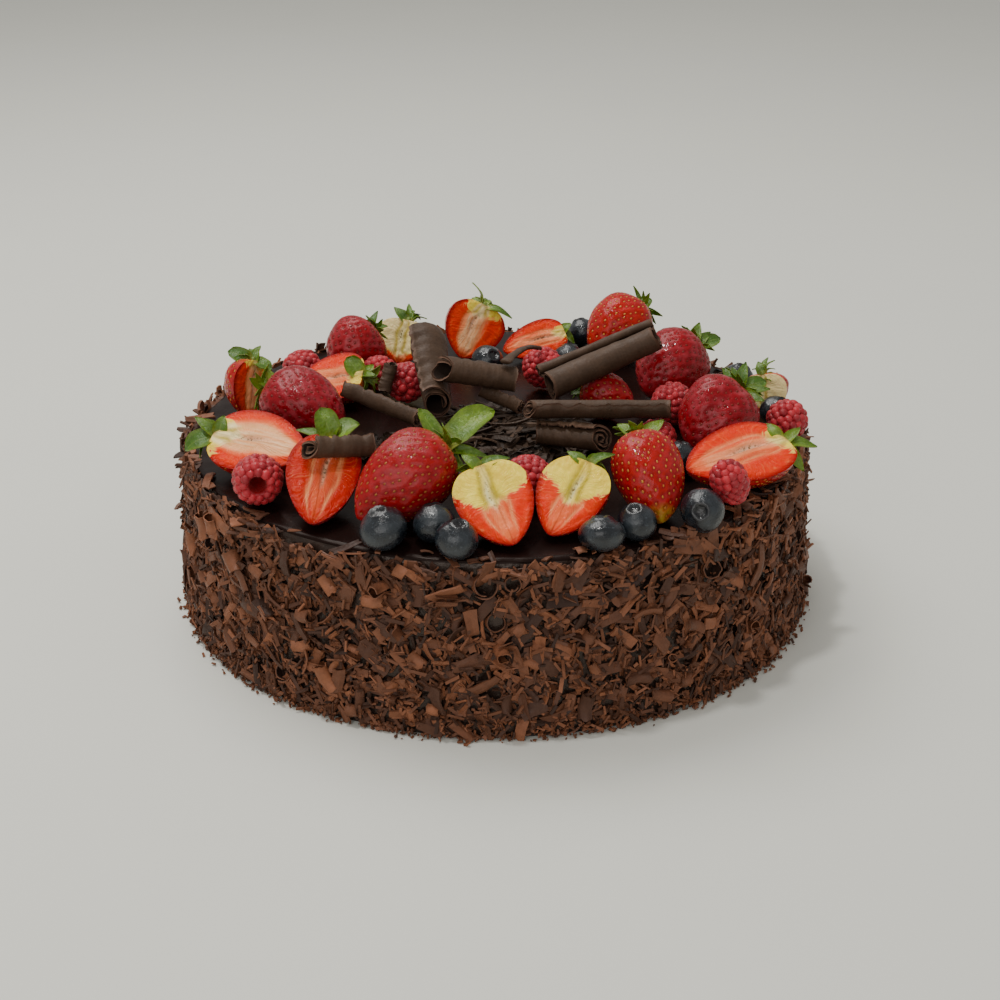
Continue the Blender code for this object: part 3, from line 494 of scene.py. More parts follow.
def skin_material(settings):
    """Strawberry skin: ripeness picks the red, and it pales towards the crown and the very tip."""
    material, tree, shader = new_material(
        "strawberry skin", Specular_IOR_Level=0.10, Coat_Weight=0.22, Coat_Roughness=0.04,
        Subsurface_Weight=0.08, Subsurface_Radius=(1.0, 0.25, 0.12), Subsurface_Scale=0.0025,
    )
    along, ripe = tree.point_value("along"), tree.point_value("ripe")
    red = tree.mix(ripe, tuple(settings.skin_bright), tuple(settings.skin_deep))
    red = mottle(tree, red, tree.mix(0.55, red, (0.16, 0.002, 0.006)), 150.0, 0.7)
    # Painted sheen: pale pink clouds on the riper berries stand in for the soft reflection of the glaze.
    painted_sheen = tree.times(ripe, tree.spread(tree.noise(240.0, 3.0), 0.45, 0.65, 0.0, 0.4))
    sheened_red = tree.mix(painted_sheen, red, (0.44, 0.075, 0.095))
    shoulder = tree.times(tree.spread(along, 0.86, 1.0), tree.spread(ripe, 1.0, 0.0, 0.15, 0.6))
    shaded = tree.mix(shoulder, sheened_red, (0.76, 0.20, 0.05))
    paled = tree.mix(tree.spread(along, 0.93, 0.985, 0.0, 0.7), shaded, (0.84, 0.22, 0.07))
    speckled = tree.spread(tree.noise(420.0), 0.35, 0.6, 0.2, 1.0)
    tip = tree.mix(tree.times(tree.point_value("green_tip"), speckled), paled, (0.42, 0.32, 0.02))
    # Painted shade: the skin darkens in the dimples round the seeds.
    pit = tree.mix(tree.times(tree.point_value("pit"), 0.7), tip, (0.13, 0.002, 0.004))
    tree.feed(shader.inputs["Base Color"], pit)
    tree.feed(shader.inputs["Roughness"], tree.spread(tree.noise(260.0), 0.35, 0.65, 0.07, 0.26))
    tree.feed(shader.inputs["Normal"], relief(tree, 330.0, 0.0007, 0.75))
    return material


def seed_material(settings):
    """Seeds are yellow on a light red berry and reddish brown on a ripe one."""
    material, tree, shader = new_material("strawberry seed", Roughness=0.3, Specular_IOR_Level=0.25)
    share = tree.spread(tree.point_value("ripe"), 0.35, 0.8, 0.1, 1.0)
    reddened = tree.mix(share, tuple(settings.seed), (0.15, 0.012, 0.010))
    duller = tree.mix(0.6, reddened, (0.24, 0.030, 0.010))
    tree.feed(shader.inputs["Base Color"], mottle(tree, reddened, duller, 170.0, 0.9))
    tree.feed(shader.inputs["Normal"], relief(tree, 3000.0, 0.0001, 0.3))
    return material


def flesh_material(settings):
    """A cut face: red at the rim, a pale core with veins beside it, fine rays, and cream at the crown."""
    material, tree, shader = new_material(
        "strawberry flesh", Specular_IOR_Level=0.13, Specular_Tint=(1.0, 0.66, 0.50),
        Subsurface_Weight=0.08, Subsurface_Radius=(1.0, 0.4, 0.2), Subsurface_Scale=0.003,
    )
    pale, creamy, rim, fan, slit, vein, along, across = (
        tree.point_value(key) for key in ("pale", "creamy", "rim", "fan", "slit", "vein", "along", "across")
    )
    flesh, cream = tuple(settings.flesh), tuple(settings.cream)
    lively = mottle(tree, flesh, (0.76, 0.050, 0.006), 170.0, 0.8)
    # Darker flesh for riper berries. Only the front left half reaches it, and there it is partly painted
    # shade, because that face lies in shade.
    red = tree.mix(tree.spread(tree.point_value("ripe"), 0.45, 0.8), lively, (0.36, 0.005, 0.002))
    middle = tree.mix(tree.spread(pale, 0.0, 0.5), red, (0.88, 0.17, 0.055))
    fibre_place = tree.node("ShaderNodeCombineXYZ", {
        "X": tree.times(across, 13.0), "Y": tree.times(along, 2.5),
    })
    fibre = tree.spread(tree.noise(1.0, 3.0, 0.6, fibre_place.outputs[0]), 0.36, 0.66)
    stringy = tree.mix(fibre, (0.94, 0.38, 0.15), (0.97, 0.62, 0.34))
    core = tree.mix(tree.spread(pale, 0.45, 0.95), middle, stringy)
    along_ray = tree.node("ShaderNodeCombineXYZ", {"X": fan, "Y": tree.times(rim, 1.5)})
    ray = tree.noise(1.0, 3.0, 0.55, along_ray.outputs[0])
    patchy = tree.spread(tree.noise(230.0, 2.0), 0.40, 0.62)
    pale_ray = tree.times(tree.spread(ray, 0.52, 0.66, 0.0, 0.38), patchy)
    inner = tree.times(pale_ray, tree.spread(rim, 0.95, 0.4))
    rayed = tree.mix(inner, core, (0.92, 0.30, 0.09))
    dark_ray = tree.mix(0.6, core, (0.60, 0.010, 0.003))
    deep = tree.mix(tree.spread(ray, 0.46, 0.30, 0.0, 0.55), rayed, dark_ray)
    edge = tree.mix(tree.spread(rim, 0.2, 0.95), deep, (0.28, 0.003, 0.004))
    yellow = mottle(tree, cream, (0.78, 0.54, 0.05), 120.0, 1.0)
    whitish = tree.mix(tree.spread(pale, 0.3, 0.9), yellow, (0.96, 0.76, 0.38))
    streaked = tree.plus(creamy, tree.spread(ray, 0.35, 0.65, -0.3, 0.3))
    cream_share = tree.spread(streaked, 0.35, 0.65)
    blushed = tree.mix(tree.spread(streaked, 0.28, 0.48, 0.0, 0.55), edge, (0.95, 0.42, 0.20))
    creamed = tree.mix(cream_share, blushed, whitish)
    vein_colour = tree.mix(creamy, (0.92, 0.40, 0.16), (0.42, 0.31, 0.008))
    vein_share = tree.spread(tree.plus(fibre, creamy), 0.0, 1.0, 0.2, 0.85)
    veined = tree.mix(tree.times(vein, vein_share), creamed, vein_colour)
    hollow = tree.mix(slit, veined, tree.mix(creamy, (0.90, 0.58, 0.38), (0.92, 0.84, 0.44)))
    speck = tree.times(tree.spread(tree.noise(1000.0, 2.0), 0.53, 0.60), slit)
    specked = tree.mix(speck, hollow, (0.10, 0.050, 0.010))
    off_middle = tree.spread(tree.calculate("ABSOLUTE", across), 0.32, 0.10)
    joint = tree.times(tree.spread(along, 0.90, 0.98), off_middle)
    tree.feed(shader.inputs["Base Color"], tree.mix(joint, specked, (0.40, 0.24, 0.05)))
    tree.feed(shader.inputs["Roughness"], tree.spread(tree.noise(330.0), 0.35, 0.65, 0.10, 0.38))
    height = tree.plus(ray, tree.times(tree.noise(560.0, 3.0), 0.9))
    tree.feed(shader.inputs["Normal"], tree.bump(height, 0.0008, 0.7))
    return material


def leaf_material(settings):
    """A sepal: lime in patches, with brighter edges, a pale vein and a pale root."""
    material, tree, shader = new_material(
        "sepal", Roughness=0.32, Specular_IOR_Level=0.4,
        Subsurface_Weight=0.1, Subsurface_Radius=(0.3, 1.0, 0.1), Subsurface_Scale=0.0015,
    )
    colour = tuple(settings.leaf)
    across, along = tree.point_value("across"), tree.point_value("along")
    lime = tree.mix(tree.spread(tree.noise(48.0, 1.0), 0.42, 0.62), colour, (0.16, 0.26, 0.014))
    bright = tree.mix(tree.spread(across, 0.55, 1.0, 0.0, 0.4), lime, (0.30, 0.40, 0.04))
    veined = tree.mix(tree.spread(across, 0.10, 0.0, 0.0, 0.3), bright, (0.34, 0.44, 0.10))
    rooted = tree.mix(tree.spread(along, 0.32, 0.0, 0.0, 0.8), veined, (0.50, 0.50, 0.10))
    tree.feed(shader.inputs["Base Color"], mottle(tree, rooted, darker(colour, 0.4), 260.0, 0.5))
    tree.feed(shader.inputs["Normal"], relief(tree, 500.0, 0.0007, 0.8))
    return material


def raspberry_material(settings):
    """Each drupelet has its own tone, and the hollow has a red of its own."""
    material, tree, shader = new_material(
        "raspberry skin", Specular_IOR_Level=0.3,
        Sheen_Weight=0.10, Sheen_Roughness=0.4, Sheen_Tint=(1.0, 0.6, 0.52),
        Subsurface_Weight=0.12, Subsurface_Radius=(1.0, 0.2, 0.2), Subsurface_Scale=0.0022,
    )
    colour = tuple(settings.raspberry)
    toned = tree.mix(tree.point_value("tone"), darker(colour, 0.55), (0.50, 0.020, 0.032))
    clouded = mottle(tree, toned, (0.58, 0.08, 0.09), 560.0, 0.25)
    hollowed = tree.mix(tree.point_value("inside"), clouded, (0.30, 0.010, 0.014))
    tree.feed(shader.inputs["Base Color"], hollowed)
    tree.feed(shader.inputs["Roughness"], tree.spread(tree.noise(420.0), 0.35, 0.65, 0.14, 0.50))
    tree.feed(shader.inputs["Normal"], relief(tree, 1300.0, 0.0003, 0.6))
    return material


def blueberry_material(settings):
    """Dark skin with patches and specks of waxy bloom, and a darker crown."""
    material, tree, shader = new_material(
        "blueberry skin", Specular_IOR_Level=0.5, Coat_Weight=0.10, Coat_Roughness=0.04,
    )
    skin, bloom = tuple(settings.blueberry), tuple(settings.bloom)
    patch = tree.spread(tree.noise(150.0, 5.0, 0.62), 0.42, 0.66)
    speck = tree.spread(tree.noise(900.0, 2.0), 0.62, 0.74, 0.0, 0.55)
    bloomed = tree.mix(patch, skin, bloom)
    specked = tree.mix(speck, bloomed, (0.055, 0.066, 0.080))
    crown = tree.mix(tree.point_value("crown"), specked, (0.012, 0.011, 0.012))
    tree.feed(shader.inputs["Base Color"], crown)
    tree.feed(shader.inputs["Roughness"], tree.spread(patch, 0.0, 1.0, 0.07, 0.40))
    tree.feed(shader.inputs["Normal"], relief(tree, 260.0, 0.0007, 0.75))
    return material


def curl_material(settings):
    """Scraped chocolate: dull, with fine lines round the roll, paler broken edges and painted shade inside.
    """
    material, tree, shader = new_material("rolled chocolate", Specular_IOR_Level=0.2)
    colour, broken = tuple(settings.chocolate), tuple(settings.broken)
    lengthways, inside = tree.point_value("lengthways"), tree.point_value("inside")
    line_place = tree.node("ShaderNodeCombineXYZ", {"X": tree.times(lengthways, 900.0)})
    lines = tree.noise(1.0, 3.0, 0.6, line_place.outputs[0])
    bright = tree.mix(tree.spread(lines, 0.35, 0.7, 0.0, 0.5), colour, darker(colour, 1.5))
    clouded = mottle(tree, bright, darker(colour, 0.5), 120.0, 0.6)
    # Painted shade: the inner face of the sheet is darkened, because the inside of the roll lies in shade.
    hollow = tree.mix(tree.times(inside, 0.9), clouded, (0.011, 0.006, 0.004))
    tree.feed(shader.inputs["Base Color"], tree.mix(tree.point_value("edge"), hollow, broken))
    dull = tree.spread(tree.noise(330.0), 0.3, 0.7, 0.42, 0.62)
    tree.feed(shader.inputs["Roughness"], tree.plus(dull, tree.times(inside, 0.35)))
    grain = relief(tree, 1100.0, 0.0003, 0.5)
    tree.feed(shader.inputs["Normal"], tree.bump(lines, 0.0002, 0.5, grain))
    return material


def shaving_material(settings):
    """Dark loose chocolate, each shaving in its own tone."""
    material, tree, shader = new_material("dark shavings", Specular_IOR_Level=0.22)
    colour = tuple(settings.chocolate)
    toned = tree.ramp(tree.point_value("tone"), (
        (0.0, darker(colour, 0.22)), (0.6, darker(colour, 0.55)), (1.0, darker(colour, 1.3)),
    ))
    tree.feed(shader.inputs["Base Color"], mottle(tree, toned, darker(colour, 0.4), 300.0, 0.6))
    tree.feed(shader.inputs["Roughness"], tree.spread(tree.noise(400.0), 0.3, 0.7, 0.4, 0.65))
    tree.feed(shader.inputs["Normal"], relief(tree, 800.0, 0.0005, 0.8))
    return material


class Shape:
    """Points and faces gathered into one mesh, with named values on its points."""

    def __init__(self, *value_names):
        self.names = value_names
        self.points, self.faces, self.slots = [], [], []
        self.values = {name: [] for name in value_names}
        self.count = 0

    def add(self, points, faces, slot=0, **values):
        """Faces are lists of point numbers, counted from the first point that is added here.

        A slot is the number of a material, either one for all faces or one for each of them.
        """
        points = np.asarray(points, float).reshape(-1, 3)
        self.points.append(points)
        self.faces.extend([tuple(i + self.count for i in face) for face in faces])
        self.slots.extend(np.broadcast_to(slot, len(faces)).tolist())
        for name in self.names:
            value = np.broadcast_to(np.asarray(values.get(name, 0.0), float), len(points))
            self.values[name].append(value)
        self.count += len(points)

    def piece(self, name, materials, node=None, slot=None, placed=None, smooth=True):
        """Makes the mesh in its place, as a piece of the body that can take the place of a node."""
        mesh = bpy.data.meshes.new(name)
        points = np.concatenate(self.points)
        if placed is not None:
            points = moved(points, placed)
        mesh.from_pydata(points.tolist(), [], self.faces)
        for material in materials:
            mesh.materials.append(material)
        mesh.polygons.foreach_set("material_index", self.slots)
        mesh.polygons.foreach_set("use_smooth", [smooth] * len(self.faces))
        for key in self.names:
            data = mesh.attributes.new(key, "FLOAT", "POINT").data
            data.foreach_set("value", np.concatenate(self.values[key]))
        mesh.update()
        mesh.validate()
        body = bpy.data.objects.new(name, mesh)
        bpy.context.scene.collection.objects.link(body)
        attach(body, BODY)
        if node:
            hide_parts(node)
        return body


def own_rng(name):
    """A source of random numbers that is the same each time for a name."""
    return np.random.default_rng(sum(map(ord, name)))


def turn_angles(count):
    """Angles that divide a full turn evenly."""
    return [2 * math.pi * j / count for j in range(count)]


def angle_from(angle, degrees):
    """How far angles are from one in degrees, from minus half a turn to half a turn."""
    return (angle - math.radians(degrees) + math.pi) % (2 * math.pi) - math.pi


def moved(points, placed):
    """Points after a placement has moved and turned them."""
    turn = np.array(placed)
    return points @ turn[:3, :3].T + turn[:3, 3]


def grid_faces(rows, columns, closed=False, first=0):
    """Quads of a grid of points, row after row. A closed grid joins its last column to its first."""
    faces = []
    for i in range(rows - 1):
        for j in range(columns if closed else columns - 1):
            a, b = first + i * columns + j, first + i * columns + (j + 1) % columns
            faces.append((a, b, b + columns, a + columns))
    return faces


def fan_faces(centre, ring, outward):
    """Triangles from a centre point to a closed ring of points."""
    after = ring[1:] + ring[:1]
    return [(centre, a, b) if outward else (centre, b, a) for a, b in zip(ring, after)]


def capped_faces(rows, columns):
    """Faces of a closed grid with a fan at each end. Its two end points come after the grid's points."""
    count = rows * columns
    faces = grid_faces(rows, columns, closed=True)
    faces += fan_faces(count, list(range(columns)), False)
    faces += fan_faces(count + 1, list(range(count - columns, count)), True)
    return faces


def above_top(point):
    """The place of a point that a table gives in millimetres above the cake's top."""
    x, y, height = point
    return Vector((x * MM, y * MM, height * MM + CAKE_TOP))


def frame_between(start, end, facing=(0, 0, 1)):
    """A placement with +Z from start to end and +Y as near as it can be to facing."""
    z = (Vector(end) - Vector(start)).normalized()
    y = Vector(facing) - z * Vector(facing).dot(z)
    if y.length < 0.05:
        y = Vector((0, -1, 0)) - z * Vector((0, -1, 0)).dot(z)
    y.normalize()
    turn = Matrix((y.cross(z), y, z)).transposed().to_4x4()
    return Matrix.Translation(start) @ turn


def set_level(placed, points, node):
    """Moves a placement up or down, so that its points reach down to the node's lowest point."""
    lowest = moved(points, placed)[:, 2].min()
    return Matrix.Translation((0, 0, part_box(node)[0][2] - lowest)) @ placed


def on_box(placed, points, node):
    """Moves a placement, so that its points share the middle of the node's box."""
    world = moved(points, placed)
    low, high = (Vector(corner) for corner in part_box(node))
    middle = Vector((world.min(axis=0) + world.max(axis=0)) / 2)
    return Matrix.Translation((low + high) / 2 - middle) @ placed


def side_radius(height):
    """The cake's radius under its flakes, which grows a little towards the foot."""
    return CAKE_FOOT_RADIUS + (CAKE_TOP_RADIUS - CAKE_FOOT_RADIUS) * height / CAKE_TOP


def ganache_profile():
    """Radius, height and whether it is the top, from the foot's middle round to the top's middle."""
    profile = [(CAKE_FOOT_RADIUS * s, 0.0, 0) for s in (0.3, 0.7, 0.97)]
    for k in range(27):
        height = (CAKE_TOP - RIM_ROUNDING) * k / 26
        profile.append((side_radius(height), max(height, 0.3 * MM), 0))
    edge = CAKE_TOP_RADIUS - RIM_ROUNDING
    for k in range(1, 9):
        angle = math.pi / 2 * k / 8
        height = CAKE_TOP - RIM_ROUNDING * (1 - math.sin(angle))
        profile.append((edge + RIM_ROUNDING * math.cos(angle), height, 1 if k > 3 else 0))
    profile += [(edge * (1 - k / 30), CAKE_TOP, 1) for k in range(1, 30)]
    return profile


def ganache_body():
    """The turned cake, with an uneven side and a poured top that ripples a little."""
    profile = ganache_profile()
    columns = 260
    points = [(0, 0, 0)]
    for radius, height, on_top in profile:
        for angle in turn_angles(columns):
            x, y = math.cos(angle), math.sin(angle)
            wave = noise(Vector((x * 3, y * 3, height * 60)))
            reach, rise = radius, height
            if on_top:
                rise += 0.18 * MM * noise(Vector((x * radius * 45, y * radius * 45, 3)))
                lump = noise(Vector((x * radius * 230, y * radius * 230, 8))) * (radius > 0.108)
                rise += 0.35 * MM * lump
                reach += (0.35 * wave * (radius > 0.11) + 0.6 * lump) * MM
            elif height > 0:
                fine = noise(Vector((x * radius * 260, y * radius * 260, height * 260)))
                reach += (0.5 * wave + 0.45 * fine - 0.4) * MM
            points.append((x * reach, y * reach, rise))
    last = len(points)
    points.append((0, 0, CAKE_TOP))
    faces = grid_faces(len(profile), columns, closed=True, first=1)
    faces += fan_faces(0, list(range(1, columns + 1)), False)
    faces += fan_faces(last, list(range(last - columns, last)), True)
    on_top = [row[2] for row in profile[1:]] + [0, 1]
    shape = Shape()
    shape.add(points, faces, np.repeat(on_top, columns))
    return shape


def flake_grids(rng, count, lengths, widths, thickness, grid, curl):
    """Points of many thin bent slabs, each a grid of points on two sides."""
    along, across = grid
    small = rng.uniform(0, 1, (count, 1, 1)) ** 1.9
    length = lengths[0] + (lengths[1] - lengths[0]) * small
    wide = 0.5 * small + 0.5 * rng.uniform(0, 1, (count, 1, 1)) ** 1.5
    width = widths[0] + (widths[1] - widths[0]) * wide
    s = np.linspace(-1, 1, along)[None, :, None]
    t = np.linspace(-1, 1, across)[None, None, :]
    ragged = rng.uniform(-0.13, 0.13, (count, 2, across))
    reach = np.where(s < 0, 1 + ragged[:, :1], 1 + ragged[:, 1:])
    x = s * length / 2 * reach
    taper = 1 - rng.uniform(-0.15, 0.35, (count, 1, 1)) * (s * 0.5 + 0.5)
    edge = 1 + rng.uniform(-0.09, 0.09, (count, along, across))
    roll = rng.uniform(*curl, (count, 1, 1))
    arc = roll * t
    radius = width / 2 / np.maximum(np.abs(roll), 0.05)
    y = np.where(np.abs(roll) > 0.06, radius * np.sin(arc), width / 2 * t) * taper * edge
    bend = rng.uniform(-1.0, 1.0, (count, 1, 1)) * 0.12 * length
    z = bend * (s ** 2 - 0.4) + np.where(np.abs(roll) > 0.06, radius * (1 - np.cos(arc)), 0) * np.sign(roll)
    z = z + rng.uniform(-0.12, 0.12, (count, along, across)) * MM
    middle = np.stack(np.broadcast_arrays(x, y, z), axis=-1)
    ahead = np.gradient(middle, axis=2)
    forward = np.gradient(middle, axis=1)
    normal = np.cross(forward, ahead)
    normal /= np.linalg.norm(normal, axis=-1, keepdims=True) + 1e-12
    half = thickness / 2 * rng.uniform(0.7, 1.3, (count, 1, 1, 1))
    both = np.stack([middle - normal * half, middle + normal * half], axis=1)
    return both.reshape(count, -1, 3)


def slab_faces(along, across):
    """Faces of one slab: two sheets of points and the strip that joins their borders."""
    layer = along * across
    lower = grid_faces(along, across)
    faces = [tuple(reversed(f)) for f in lower] + [tuple(i + layer for i in f) for f in lower]
    border = [(i, 0) for i in range(along - 1)] + [(along - 1, j) for j in range(across - 1)]
    border += [(i, across - 1) for i in range(along - 1, 0, -1)]
    border += [(0, j) for j in range(across - 1, 0, -1)]
    ids = [i * across + j for i, j in border]
    for a, b in zip(ids, ids[1:] + ids[:1]):
        faces.append((a, b, b + layer, a + layer))
    return faces


def turned(grids, spin, tilt, lean):
    """Turns each slab in its plane by spin, then about its own length and its own width."""
    zero = np.zeros_like(spin)
    x = np.stack([np.cos(spin), np.sin(spin), zero], axis=-1)
    y = np.stack([-np.sin(spin), np.cos(spin), zero], axis=-1)
    n = np.stack([zero, zero, zero + 1], axis=-1)
    y, n = (
        np.cos(tilt)[:, None] * y + np.sin(tilt)[:, None] * n,
        np.cos(tilt)[:, None] * n - np.sin(tilt)[:, None] * y,
    )
    x, n = (
        np.cos(lean)[:, None] * x + np.sin(lean)[:, None] * n,
        np.cos(lean)[:, None] * n - np.sin(lean)[:, None] * x,
    )
    axes = np.stack([x, y, n], axis=1)
    return np.einsum("nkc,ncd->nkd", grids, axes)


def tossed(rng, grids, tilt, lean, spin=np.pi):
    """Turns slabs at random: by up to a spin, and with a spread of tilts and of leans."""
    count = len(grids)
    return turned(
        grids, rng.uniform(0, spin, count), rng.normal(0, tilt, count), rng.normal(0, lean, count),
    )


def on_side(grids, angle, height, hold):
    """Lays slabs on the cake's side, each sunk into it by hold at its lowest point."""
    inward = grids[:, :, 2].min(axis=1)
    out = side_radius(height) - inward - hold
    radial = out[:, None] + grids[:, :, 2]
    tangent = grids[:, :, 0]
    cos, sin = np.cos(angle)[:, None], np.sin(angle)[:, None]
    world = np.stack([
        radial * cos - tangent * sin, radial * sin + tangent * cos, height[:, None] + grids[:, :, 1],
    ], axis=-1)
    under = np.minimum(world[:, :, 2].min(axis=1) - 0.25 * MM, 0)
    world[:, :, 2] -= under[:, None]
    return world


def even_places(rng, count, low, high):
    """Angles and heights that cover a band evenly but without a visible order."""
    i = np.arange(count)
    angle = i * GOLDEN_ANGLE + rng.normal(0, 0.05, count)
    height = low + (high - low) * (i + rng.uniform(0, 1, count)) / count
    return angle, height


def add_slabs(shape, world, faces, tone):
    """Adds many slabs with the same faces to a shape, each with its own tone."""
    count, per = world.shape[:2]
    starts = np.arange(count)[:, None, None] * per
    all_faces = (starts + np.array(faces)).reshape(-1, 4)
    shape.add(world, all_faces.tolist(), tone=np.repeat(np.broadcast_to(tone, count), per))


def flake_tones(rng, count):
    """Most flakes are milk-chocolate brown, and some are dark."""
    tone = rng.normal(0.6, 0.23, count)
    dark = rng.uniform(0, 1, count) < 0.30
    tone[dark] = rng.uniform(0.0, 0.3, dark.sum())
    return np.clip(tone, 0, 1)


def bare_front(angle):
    """Near 1 at the front, where the flakes stop short of the rim in an uneven line, and 0 elsewhere."""
    off = angle_from(angle, -108)
    uneven = 0.75 + 0.25 * np.sin(43 * angle) * np.cos(29 * angle)
    return np.exp(-(off / math.radians(44)) ** 4) * uneven


def below_rim(angle, height, top, drop):
    """Heights that stay under the top, and under it by a further drop where the front is bare."""
    return np.minimum(height, (top - drop * bare_front(angle)) * MM)


def add_coat(shape, grids, grid, angle, height, hold, tone):
    """Lays slabs on the side, apart from those that would lie where an open scroll stands."""
    world = on_side(grids, angle, height, hold)
    keep = np.ones(len(angle), bool)
    for scroll in OPEN_SCROLLS:
        aside = angle_from(angle, scroll.angle) * CAKE_TOP_RADIUS
        keep &= np.hypot(aside, height - scroll.height * MM) > (scroll.width / 2 + 0.6) * MM
    add_slabs(shape, world[keep], slab_faces(*grid), tone[keep])


def large_flakes(settings, rng):
    """The flakes that make up most of the coat."""
    shape = Shape("tone")
    count, grid = settings.flakes, (4, 3)
    grids = flake_grids(
        rng, count, (2.6 * MM, 11 * MM), (1.3 * MM, 4.4 * MM), settings.flake_thickness, grid, (-0.7, 0.7),
    )
    grids = tossed(rng, grids, 0.42, 0.13)
    angle, height = even_places(rng, count, 2 * MM, 64.5 * MM)
    height = below_rim(angle, height, 64.5, 4.6)
    hold = rng.uniform(-0.7, 0.9, count) * MM
    add_coat(shape, grids, grid, angle, height, hold, flake_tones(rng, count))
    return shape


def broad_flakes(rng, thickness):
    """The largest flakes, most of them near the rim."""
    shape = Shape("tone")
    count, grid = 190, (6, 4)
    grids = flake_grids(
        rng, count, (8 * MM, 15 * MM), (3.4 * MM, 6.5 * MM), thickness * 1.3, grid, (-0.6, 0.6),
    )
    grids = tossed(rng, grids, 0.3, 0.08)
    angle = np.arange(count) * GOLDEN_ANGLE
    height = (6 + 57 * rng.uniform(0, 1, count) ** 0.7) * MM
    height = below_rim(angle, height, 62, 6)
    hold = rng.uniform(-0.9, 0.3, count) * MM
    add_coat(shape, grids, grid, angle, height, hold, flake_tones(rng, count))
    return shape


def scroll_flakes(rng, thickness):
    """Flakes that rolled up into little scrolls with open ends."""
    shape = Shape("tone")
    count, grid = 240, (3, 12)
    grids = flake_grids(rng, count, (4 * MM, 10 * MM), (7 * MM, 15 * MM), thickness * 0.8, grid, (2.2, 3.1))
    spin = rng.uniform(0, np.pi, count)
    stand = rng.uniform(0, 1, count) < 0.3
    lean = np.where(stand, rng.uniform(0.8, 1.3, count), rng.normal(0, 0.2, count))
    grids = turned(grids, spin, rng.uniform(0, 6.28, count), lean)
    angle, height = even_places(rng, count, 6 * MM, 62 * MM)
    height = below_rim(angle, height, 62, 3)
    hold = np.where(stand, rng.uniform(2.5, 5.0, count), rng.uniform(0.3, 1.4, count)) * MM
    tone = np.clip(flake_tones(rng, count) + 0.15, 0, 1)
    add_coat(shape, grids, grid, angle, height, hold, tone)
    return shape


def open_scrolls(rng, thickness):
    """Scrolls that stand out from the side, so that their spiral ends show."""
    shape = Shape("tone")
    rows = 5
    for scroll in OPEN_SCROLLS:
        angle = math.radians(scroll.angle)
        out = Vector((math.cos(angle), math.sin(angle), rng.uniform(0.15, 0.45)))
        out += Vector((-math.sin(angle), math.cos(angle), 0)) * rng.uniform(-0.3, 0.3)
        radius = scroll.width / 2 * MM
        reach = side_radius(scroll.height * MM) - 0.35 * radius
        root = Vector((reach * math.cos(angle), reach * math.sin(angle), scroll.height * MM))
        placed = frame_between(root, root + out)
        line = spiral(radius, 1.12, 26, rng.uniform(0, 6), pitch=0.9 * MM)
        points, tones = [], []
        # The outer face takes a light tone, and the inner face takes the darkest one as painted shade inside
        # the scroll.
        outside = rng.uniform(0.7, 1.0)
        for face in (-1, 1):
            tones += [outside if face > 0 else 0.0] * (rows * len(line))
            for i in range(rows):
                for k, place in enumerate(line):
                    half = thickness * (0.3 if k in (0, len(line) - 1) else 0.55)
                    uneven = 0.75 + 0.25 * noise(Vector((k * 0.35, scroll.angle, 0)))
                    end = uneven * scroll.length * MM * 0.62
                    at = place * (1 + face * half / place.length)
                    points.append(placed @ Vector((at.x, at.y, end * i / (rows - 1))))
        shape.add([tuple(p) for p in points], slab_faces(rows, len(line)), tone=np.array(tones))
    return shape


def long_flakes(rng, thickness):
    """The few long flakes that stand out at the rim."""
    shape = Shape("tone")
    grid = (9, 5)
    for flake in LONG_FLAKES:
        length, width = flake.length * MM, flake.width * MM
        grids = flake_grids(rng, 1, (length, length), (width, width), thickness * 1.5, grid, (-0.5, 0.5))
        slope = np.radians([flake.slope])
        grids = turned(grids, slope, rng.normal(0, 0.15, 1), rng.normal(0, 0.05, 1))
        height = np.array([flake.height * MM])
        world = on_side(grids, np.radians([flake.angle]), height, np.array([0.2 * MM]))
        add_slabs(shape, world, slab_faces(*grid), flake.tone)
    return shape


def thin_splinters(settings, rng):
    """Thin straight splinters between the flakes."""
    shape = Shape("tone")
    count, grid = settings.splinters, (2, 2)
    grids = flake_grids(
        rng, count, (1.8 * MM, 6.5 * MM), (0.5 * MM, 1.5 * MM), 0.45 * MM, grid, (-0.3, 0.3),
    )
    grids = tossed(rng, grids, 0.6, 0.28)
    angle, height = even_places(rng, count, 1 * MM, 65 * MM)
    height = below_rim(angle, height, 65, 4.5)
    hold = rng.uniform(-2.2, 0.3, count) * MM
    add_coat(shape, grids, grid, angle, height, hold, flake_tones(rng, count))
    return shape


def rim_flakes(rng, thickness):
    """Flakes that lap over the rim on to the ganache, more of them on the right."""
    shape = Shape("tone")
    count, grid = 520, (4, 3)
    grids = flake_grids(rng, count, (4 * MM, 11 * MM), (1.5 * MM, 3.8 * MM), thickness, grid, (-0.6, 0.6))
    grids = tossed(rng, grids, 0.3, 0.15)
    angle = np.arange(count) * GOLDEN_ANGLE + rng.normal(0, 0.05, count)
    to_right = 0.5 + 0.5 * np.cos(angle - math.radians(-38))
    inner = (115.2 - 4.4 * to_right) * MM
    radius = rng.uniform(inner, 117.3 * MM)
    lowest = grids[:, :, 2].min(axis=1)
    fall = np.clip((radius - 112.5 * MM) / (4 * MM), 0, 1.2) ** 2 * 3 * MM
    height = CAKE_TOP - fall - lowest - rng.uniform(0.0, 0.5, count) * MM
    keep = rng.uniform(0, 1, count) > 0.9 * bare_front(angle)
    grids, angle, radius, height = grids[keep], angle[keep], radius[keep], height[keep]
    cos, sin = np.cos(angle)[:, None], np.sin(angle)[:, None]
    world = np.stack([
        radius[:, None] * cos + grids[:, :, 0] * cos - grids[:, :, 1] * sin,
        radius[:, None] * sin + grids[:, :, 0] * sin + grids[:, :, 1] * cos,
        height[:, None] + grids[:, :, 2],
    ], axis=-1)
    add_slabs(shape, world, slab_faces(*grid), flake_tones(rng, keep.sum()))
    return shape


